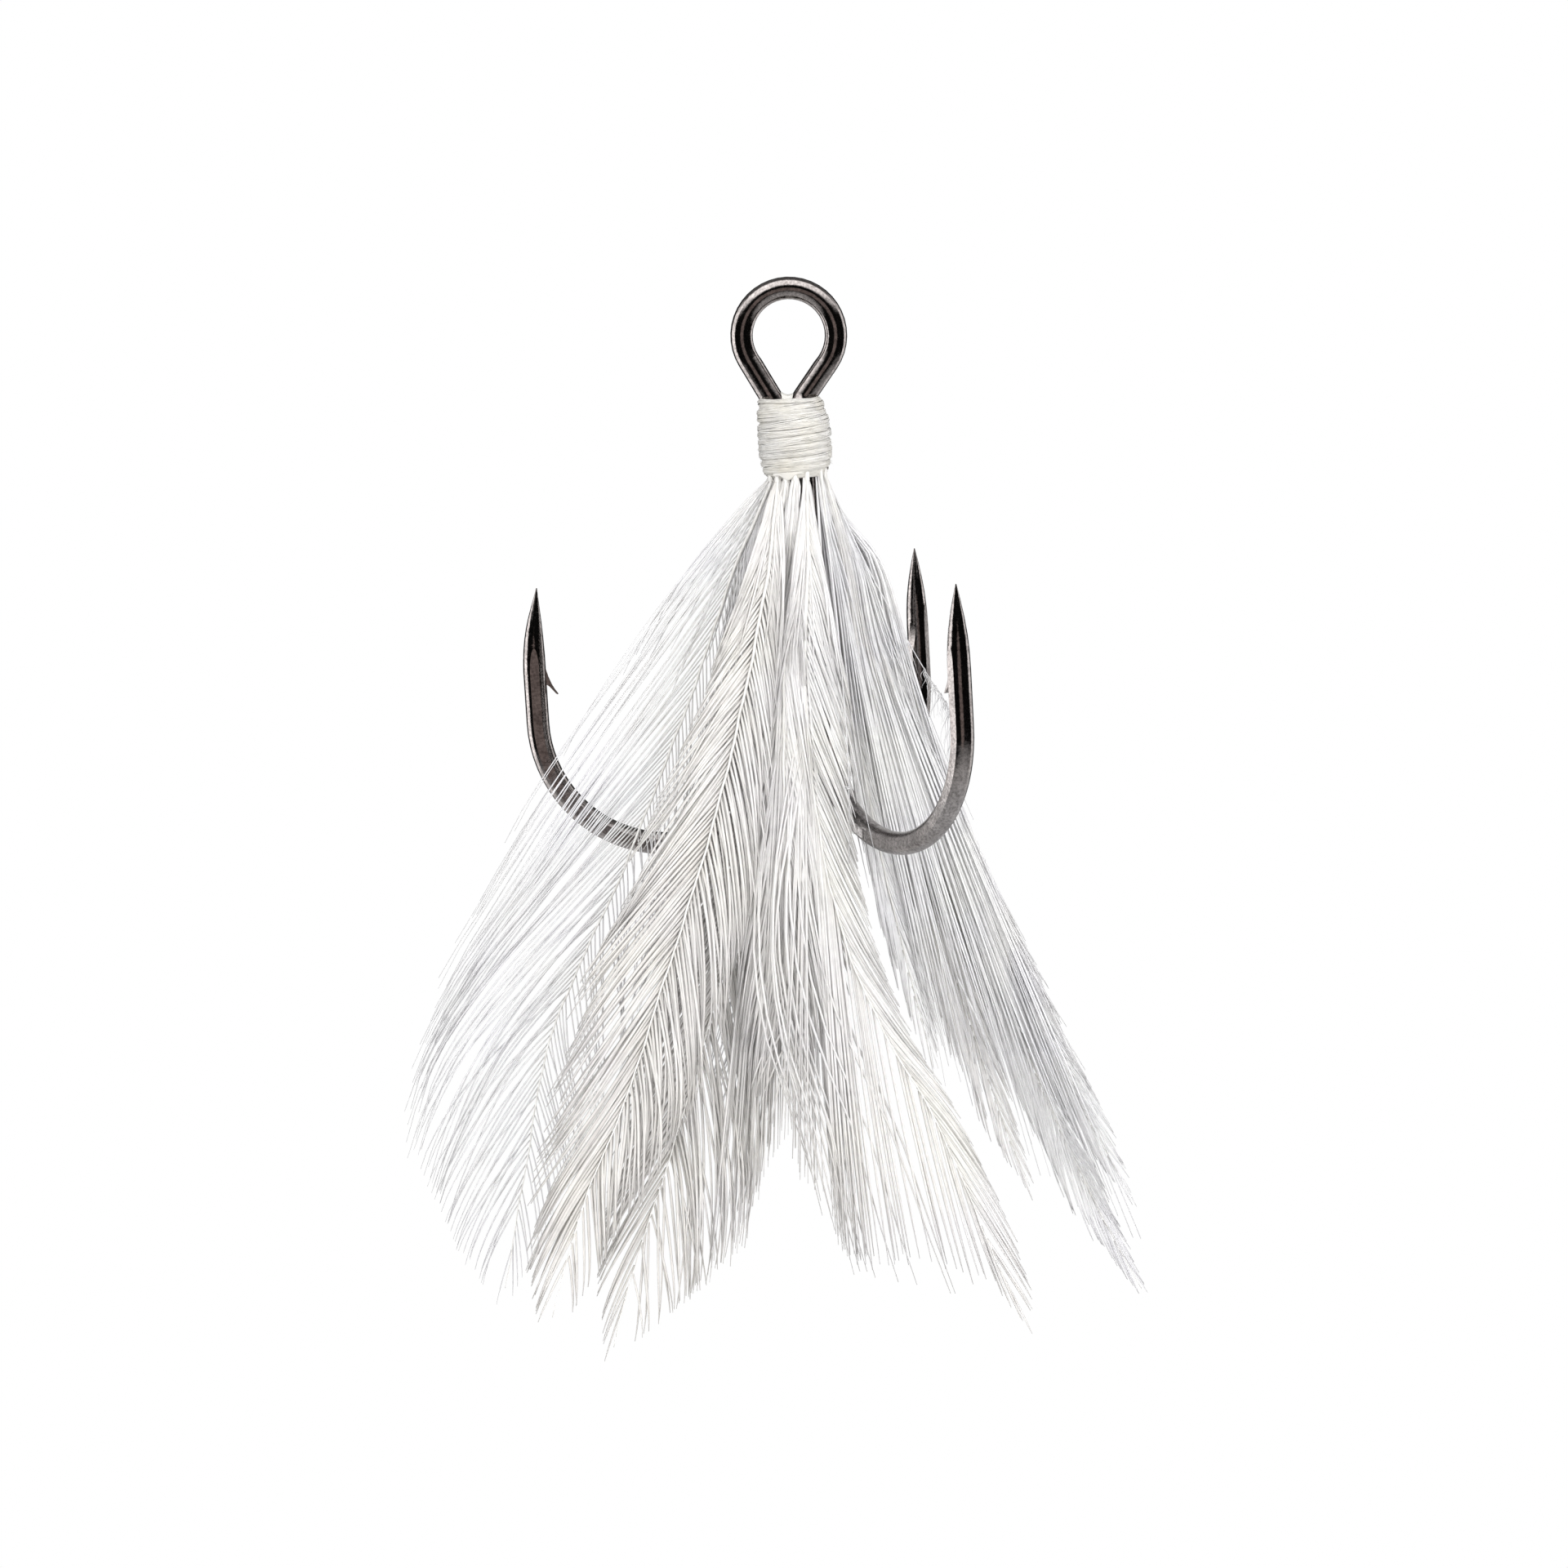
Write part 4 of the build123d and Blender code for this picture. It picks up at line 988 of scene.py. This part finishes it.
    def add_fan(self, strands):
        """Long fibres that leave the thread with the stem and fan out inside the web."""
        spec, rng = self.spec, self.rng
        count, highest, lowest = spec["fan"]
        t = np.linspace(0, 1, self.FAN_POINTS)
        for k in range(count):
            u = -1 + (1 + spec["fan_right"]) * (k + rng.uniform(0.1, 0.9)) / count
            side = -1 if u < 0 else 1
            end_z = lowest + (highest - lowest) * rng.uniform() ** 1.2
            z = self.STEM_TOP + (end_z - self.STEM_TOP) * t
            room = self.half_width[side](np.minimum(z, -6.0)) * self.stretch[side](z)
            room = np.maximum(room, 0.20) * np.clip((-5.2 - z) / 1.0, 0.3, 1)
            offset = u * room * (1 + 0.06 * np.sin(3 * t + k)) + 0.03 * np.sin(5 * t + 2.1 * k) * t
            depth = self.depth(z) + rng.normal(-0.01, 0.025) + 0.03 * np.sin(2.6 * t + k) * t
            depth = depth + self.lift(z)
            depth = depth + spec["mingle"] * rng.uniform(-1, 1) * np.clip((-z - 6.8) / 3.5, 0, 1)
            path = self.place(self.stem(z), depth, z, offset)
            root = 0.75 + 0.25 * np.clip(t * 4, 0, 1)
            half = 0.5 * rng.uniform(0.075, 0.125) * root * (1 - 0.88 * t**3)
            twist = 0.3 * side + rng.normal(0, 0.2)
            strands.add(path, half, 0.022 * (1 - 0.7 * t**2), self.flat_width(path, twist),
                        rnd=random_shade(rng, 0.6, 0.22), side=side)

    def build(self):
        quill = self.build_stem()
        strands = Strands()
        for layer in range(1 if self.spec["under_to"] is None else 2):
            for side in (-1, 1):
                self.add_barbs(strands, layer, side)
        self.add_fan(strands)
        vane = strands.object("barbs_" + self.name, BARB_MATERIALS[self.spec["colour"]])
        z = np.array([-5.92])
        top = self.place(self.stem(z), self.depth(z), z)[0]
        for ob, part, slot in ((quill, "quill_", "quill"), (vane, "vane_", "barbs")):
            blend_from(ob, self.name, top)
            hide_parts(part + self.name)


for feather_name, feather_spec in FEATHERS.items():
    Feather(feather_name, feather_spec).build()

# ------------------------------------------------------------------ filling strands
FILLER_TOP_Z = -5.9
# lean from the vertical (degrees), length of the longest fibre there
SIDE_REACH = ((7.0, 25.4), (8.0, 26.0), (9.7, 26.9), (12.2, 28.4), (14.5, 31.4), (16.2, 33.6),
              (17.7, 34.7), (19.1, 37.0), (20.6, 32.8))
# feather, least lean, most lean (degrees), count
SIDE_GROUPS = (("right_1", 8.0, 10.2, 22), ("right_2", 10.2, 14.2, 36),
               ("right_3", 14.2, 19.2, 48), ("right_4", 18.6, 20.3, 18))
# x of a tip, lowest z there
CENTRE_HEM = ((-5.2, -37.8), (-4.3, -37.1), (-3.2, -34.5), (-1.9, -32.5), (-1.0, -34.3),
              (-0.1, -35.7), (0.6, -36.5))
# feather, colour, leftmost and rightmost tip x, count, lift
CENTRE_GROUPS = (("front_3", "warm", -3.9, 0.9, 92, 0.42), ("front_2", "warm", -5.6, -2.2, 64, 0.45))


def build_side_fillers():
    """Long fibres running straight from the thread that close the steps between the
    right feathers; they end raggedly."""
    rng = np.random.default_rng(303)
    longest = column_curve(SIDE_REACH, 0, 1)
    start_x, start_y, start_z = 0.84, -0.55, -5.75
    wrap_limit = 1.12      # radius the fibres are drawn in to at the thread
    for name, least, most, count in SIDE_GROUPS:
        strands = Strands()
        for k in range(count):
            lean = least + (most - least) * (k + rng.uniform()) / count
            length = float(longest(lean)) * (1 - 0.34 * rng.uniform() ** 1.7)
            begin = 0.0 if k % 3 else rng.uniform(0.1, 0.45)
            t = np.linspace(begin, 1, 22)
            angle = math.radians(lean) + 0.012 * np.sin(2.5 * t + k) * t
            run = length * t
            x = start_x + run * np.sin(angle)
            z = start_z - run * np.cos(angle)
            back_slope = 0.034 + (lean - 8.0) / 12.0 * 0.155
            y = (start_y + run * back_slope + rng.normal(0, 0.10) * np.clip(t * 3, 0, 1)
                 + 0.05 * np.sin(4 * t + 2 * k))
            path = np.stack([x, y, z], 1)
            bound = np.clip((z + 7.2) / 1.45, 0, 1)
            radius = np.hypot(path[:, 0], path[:, 1])
            limit = wrap_limit + (radius - wrap_limit) * (1 - bound)
            path[:, :2] *= (np.minimum(radius, limit) / radius)[:, None]
            u = (t - begin) / (1 - begin)
            root = 0.45 + 0.55 * np.clip(u * 6, 0, 1)
            half = 0.5 * rng.uniform(0.07, 0.12) * root * (1 - 0.8 * u**3.2)
            strands.add(path, half, 0.020 * (1 - 0.7 * u**2), flat_direction(rng.normal(25, 12)),
                        rnd=random_shade(rng, 0.6, 0.25))
        ob = strands.object("strands_" + name, BARB_MATERIALS["silky"])
        blend_from(ob, name, (0.95, -0.6, FILLER_TOP_Z))


def build_centre_fillers():
    """Long straight fibres in the middle, over the edges where the front feathers meet."""
    rng = np.random.default_rng(404)
    lowest = column_curve(CENTRE_HEM, 0, 1)
    start_x = -0.25
    for name, colour, left, right, count, lift in CENTRE_GROUPS:
        spec = FEATHERS[name]
        depth_curve = smooth_curve(DEPTH_Z, spec["depth"])
        strands = Strands()
        for k in range(count):
            tip_x = left + (right - left) * (k + rng.uniform()) / count
            full_drop = float(lowest(tip_x)) - FILLER_TOP_Z
            tip_z = FILLER_TOP_Z + full_drop * (1 - 0.30 * rng.uniform() ** 1.5)
            begin_z = rng.uniform(-19.5, -10.5)
            t = np.linspace(0, 1, 20)
            z = begin_z + (tip_z - begin_z) * t
            share = (z - FILLER_TOP_Z) / full_drop
            x = start_x + share * (tip_x - start_x) + 0.04 * np.sin(3 * t + k) * t
            y = -(depth_curve(np.clip(z, LOWEST_Z, ROOT_Z)) + lift * lift_share(z)
                  + rng.normal(0.05, 0.06))
            root = 0.25 + 0.75 * np.clip(t * 5, 0, 1)
            half = 0.5 * rng.uniform(0.075, 0.115) * root * (1 - 0.8 * t**3.2)
            strands.add(np.stack([x, y, z], 1), half, 0.020 * (1 - 0.7 * t**2),
                        flat_direction(rng.normal(0, 14)), rnd=random_shade(rng, 0.6, 0.22))
        ob = strands.object("strands_" + name, BARB_MATERIALS[colour])
        blend_from(ob, name, (spec["stem"][0][0], -spec["depth"][0], FILLER_TOP_Z))


build_side_fillers()
build_centre_fillers()

# ------------------------------------------------------------------ stray fibres
# paths as (x, y, z)
LONG_FIBRE = ((0.87, -1.29, -5.75), (1.20, -2.50, -9.69), (1.37, -3.05, -13.73),
              (1.42, -3.42, -16.88), (1.32, -3.85, -19.84), (1.20, -4.10, -21.4))
KNOT = np.array([1.37, -3.66, -18.35])
KNOT_STUB = (KNOT + (0, -0.05, 0.0), KNOT + (-0.16, -0.09, 0.10), KNOT + (-0.24, -0.10, 0.04))
LOOSE_BARB = ((1.30, -3.75, -15.2), (1.66, -4.20, -17.14), (1.97, -4.45, -19.13),
              (2.26, -4.70, -20.85))
TUFT_STEM = ((1.26, 0.41, -6.04), (2.63, -0.64, -9.49), (4.07, 0.86, -12.59),
             (5.01, 2.01, -14.48), (5.97, 3.24, -16.37), (6.10, 3.30, -17.2))
# path, half width at the root
LOOSE_TIPS = (
    (((3.6, 0.2, -12.8), (4.89, 1.16, -17.31), (5.32, 1.70, -18.09), (5.81, 2.05, -19.73),
      (6.26, 2.32, -21.29)), 0.026),
    (((3.9, 0.6, -13.0), (5.07, 1.80, -16.36), (5.88, 2.57, -18.76), (6.39, 3.04, -20.11),
      (6.71, 3.31, -20.97)), 0.024),
    (((3.7, 0.3, -12.6), (4.75, 1.35, -15.7), (5.45, 2.1, -18.1), (6.0, 2.5, -19.9)), 0.024))


def smooth_path(points, count):
    """Evenly spaced points on a smooth path."""
    points = np.array(points, float)
    steps = np.linalg.norm(np.diff(points, axis=0), axis=1)
    distance = np.concatenate([[0], np.cumsum(steps)])
    at = np.linspace(0, distance[-1], count)
    return np.stack([smooth_curve(distance, points[:, i])(at) for i in range(3)], 1)


def build_front_strays():
    strands = Strands()
    # a long fibre down the front, with a knot and its short end
    t = np.linspace(0, 1, 30)
    strands.add(smooth_path(LONG_FIBRE, 30), 0.040 * (1 - 0.5 * t), 0.036 * (1 - 0.5 * t), RIGHT,
                rnd=0.9)
    t = np.linspace(0, 1, 26)
    angle = t * 4 * math.pi
    coil = KNOT + np.stack([0.075 * np.cos(angle), 0.065 * np.sin(angle), 0.13 * (t - 0.5)], 1)
    strands.add(coil, np.full(26, 0.030), np.full(26, 0.030), UP, rnd=0.95)
    half = 0.020 * np.linspace(1, 0.3, 8)
    strands.add(smooth_path(KNOT_STUB, 8), half, half, UP, rnd=0.9, ring=5)
    # a loose barb beside it
    strands.add(smooth_path(LOOSE_BARB, 16), 0.030 * np.linspace(1, 0.35, 16),
                0.018 * np.linspace(1, 0.4, 16), RIGHT, rnd=0.8)
    ob = strands.object("stray_fibres_front", BARB_MATERIALS["cool"])
    blend_from(ob, "front_4", (0.4, -1.1, FILLER_TOP_Z))


def build_right_strays():
    """A plume stem that ends in a tuft of down, and three loose tips."""
    rng = np.random.default_rng(77)
    strands = Strands()
    stem_points, tuft_count, tuft_start = 34, 46, 0.72
    stem = smooth_path(TUFT_STEM, stem_points)
    t = np.linspace(0, 1, stem_points)
    strands.add(stem, 0.036 * (1 - 0.55 * t), 0.030 * (1 - 0.5 * t), RIGHT, rnd=0.95)
    u = np.linspace(0, 1, 9)
    for k in range(tuft_count):
        share = tuft_start + (1 - tuft_start) * k / (tuft_count - 1)
        i = share * (stem_points - 1)
        after = stem[min(int(i) + 1, stem_points - 1)]
        root = stem[int(i)] * (1 - i % 1) + after * (i % 1)
        side = -1 if k % 2 else 1
        length = rng.uniform(0.7, 1.55) * (0.55 + 0.6 * (share - tuft_start) / (1 - tuft_start))
        x = side * (0.34 * u - 0.10 * u**2) * length + rng.normal(0, 0.05) * u**2
        y = rng.normal(0, 0.20) * u**1.5
        path = root + np.stack([x, y, -length * (u * 0.9 + 0.1 * u**2)], 1)
        path[:, 0] += 0.05 * np.sin(7 * u + k)
        strands.add(path, 0.021 * (1 - 0.8 * u), 0.013 * (1 - 0.6 * u), RIGHT,
                    rnd=rng.uniform(0.2, 1), ring=5)
    for points, half in LOOSE_TIPS:
        strands.add(smooth_path(points, 18), half * np.linspace(1, 0.25, 18),
                    0.7 * half * np.linspace(1, 0.3, 18), RIGHT, rnd=rng.uniform())
    ob = strands.object("stray_fibres_right", BARB_MATERIALS["cool"])
    blend_from(ob, "right_4", (0.9, 0.7, FILLER_TOP_Z))


build_front_strays()
build_right_strays()


# ------------------------------------------------------------------ stage
def stage_material():
    """Burnt out to white for the camera, pale grey for bounced light, clear from below."""
    mat, nodes = new_material("stage_white")
    cloud = nodes.noise(nodes.object_coords(), scale=60.0, detail=2.0)
    grey = nodes.ramp(cloud, [(0.3, 0.60), (0.7, 0.62)])
    diffuse = nodes.add("ShaderNodeBsdfDiffuse", {"Color": grey})
    white = nodes.add("ShaderNodeEmission", {"Strength": 1.0, "Color": (1, 1, 1, 1)})
    clear = nodes.add("ShaderNodeBsdfTransparent")
    ray = nodes.add("ShaderNodeLightPath").outputs
    geometry = nodes.add("ShaderNodeNewGeometry").outputs
    surface = nodes.mix_shader(ray["Is Camera Ray"], diffuse, white)
    surface = nodes.mix_shader(geometry["Backfacing"], surface, clear)
    # metal sees only the near part of the floor
    distance = nodes.add("ShaderNodeVectorMath", {0: geometry["Position"]}, operation="LENGTH")
    far = nodes.map_range(distance.outputs["Value"], from_min=0.05, from_max=0.12)
    hidden = nodes.math("MULTIPLY", ray["Is Glossy Ray"], far)
    nodes.finish(nodes.mix_shader(hidden, surface, clear))
    return mat


def build_floor():
    """A disc below the feather tips."""
    z, radius, segments = -47.5, 4000.0, 96
    points = [(0, 0, z)]
    for k in range(segments):
        angle = 2 * math.pi * k / segments
        points.append((radius * math.cos(angle), radius * math.sin(angle), z))
    faces = [(0, 1 + k, 1 + (k + 1) % segments) for k in range(segments)]
    mesh_object("stage_floor", points, faces, stage_material(), smooth=False)


def build_world():
    """White for the camera, an even fill for the feathers, and for polished metal a dark
    tent with a bright rim beside and above the object."""
    world = bpy.data.worlds.new("studio")
    scene.world = world
    world.use_nodes = True
    nodes = Nodes(world.node_tree, "ShaderNodeOutputWorld")
    coords = nodes.add("ShaderNodeTexCoord").outputs["Generated"]
    ray_way = nodes.add("ShaderNodeVectorMath", {0: coords}, operation="NORMALIZE").outputs[0]
    # 0 straight to the front and a little down, 1 straight to the back
    front_way = (0, -0.9911, -0.1333)
    dot = nodes.add("ShaderNodeVectorMath", {0: ray_way, 1: front_way}, operation="DOT_PRODUCT")
    backness = nodes.map_range(dot.outputs["Value"], from_min=1.0, from_max=-1.0)

    # brightness of the tent from front to back, for each of its sides
    front, black = (0.118, 0.098, 0.092), 0.003
    left = nodes.ramp(backness, [(0.0, front), (0.012, front), (0.024, black), (0.36, black),
                                 (0.43, 1), (0.70, 1), (0.78, 0.02)])
    right = nodes.ramp(backness, [(0.0, front), (0.012, front), (0.024, black), (0.50, black),
                                  (0.56, 0.62), (0.76, 0.62), (0.83, 0.02)])
    top = nodes.ramp(backness, [(0.0, front), (0.015, front), (0.040, black), (0.10, black),
                                (0.17, 1), (0.52, 1), (0.64, 0.07)])
    way = nodes.add("ShaderNodeSeparateXYZ", {0: ray_way}).outputs
    to_right = nodes.map_range(way["X"], from_min=-0.15, from_max=0.15, kind="SMOOTHSTEP")
    to_top = nodes.map_range(way["Z"], from_min=0.30, from_max=0.70, kind="SMOOTHSTEP")
    tent_colour = nodes.mix_colour(to_top, nodes.mix_colour(to_right, left, right), top)

    white = nodes.add("ShaderNodeBackground", {0: (1, 1, 1, 1), "Strength": 1.0})
    fill = nodes.add("ShaderNodeBackground", {"Strength": 0.43})
    tent = nodes.add("ShaderNodeBackground", {"Color": tent_colour, "Strength": 2.6})
    ray = nodes.add("ShaderNodeLightPath").outputs
    surface = nodes.mix_shader(ray["Is Glossy Ray"], fill, tent)
    nodes.finish(nodes.mix_shader(ray["Is Camera Ray"], surface, white))


# name, place, width, height (m), power (W)
LIGHTS = (("key_left", (-0.20, -0.24, 0.14), 0.22, 0.22, 0.78),
          ("fill_right", (0.24, -0.20, 0.04), 0.22, 0.24, 0.95),
          ("front", (0.0, -0.32, 0.02), 0.25, 0.25, 0.54),
          ("top", (0.02, 0.05, 0.28), 0.18, 0.18, 0.26),
          ("back", (0.05, 0.28, 0.10), 0.20, 0.20, 0.26))
LIGHT_AIM = (0, 0, -0.02)


def build_lights():
    """White area lights, unseen in reflections."""
    for name, place, width, height, power in LIGHTS:
        light = bpy.data.lights.new(name, "AREA")
        light.shape = "RECTANGLE"
        light.size, light.size_y = width, height
        light.energy = power
        light.color = (1, 1, 1)
        ob = bpy.data.objects.new(name, light)
        ob.location = place
        way = Vector(LIGHT_AIM) - Vector(place)
        ob.rotation_euler = way.to_track_quat("-Z", "Y").to_euler()
        ob.visible_glossy = False
        scene.collection.objects.link(ob)


def build_camera():
    """Stands in front, looks slightly down and is rolled a little."""
    down, roll = math.radians(7.663), math.radians(3.274)
    target = Vector((-1.246, 0, -18.525)) * MM
    distance = 0.170
    data = bpy.data.cameras.new("studio_camera")
    camera = bpy.data.objects.new("studio_camera", data)
    scene.collection.objects.link(camera)
    data.lens = 93.75
    data.sensor_width = 36.0
    data.clip_start, data.clip_end = 0.002, 20.0
    look = Vector((0, math.cos(down), -math.sin(down)))
    level_right, level_up = Vector(RIGHT), Vector((0, math.sin(down), math.cos(down)))
    right = level_right * math.cos(roll) - level_up * math.sin(roll)
    up = level_right * math.sin(roll) + level_up * math.cos(roll)
    place = target - look * distance
    camera.matrix_world = Matrix(((right.x, up.x, -look.x, place.x),
                                  (right.y, up.y, -look.y, place.y),
                                  (right.z, up.z, -look.z, place.z), (0, 0, 0, 1)))
    scene.camera = camera


build_floor()
build_world()
build_lights()
build_camera()
scene.view_settings.view_transform = "Standard"
scene.cycles.diffuse_bounces = 6
scene.cycles.max_bounces = 14
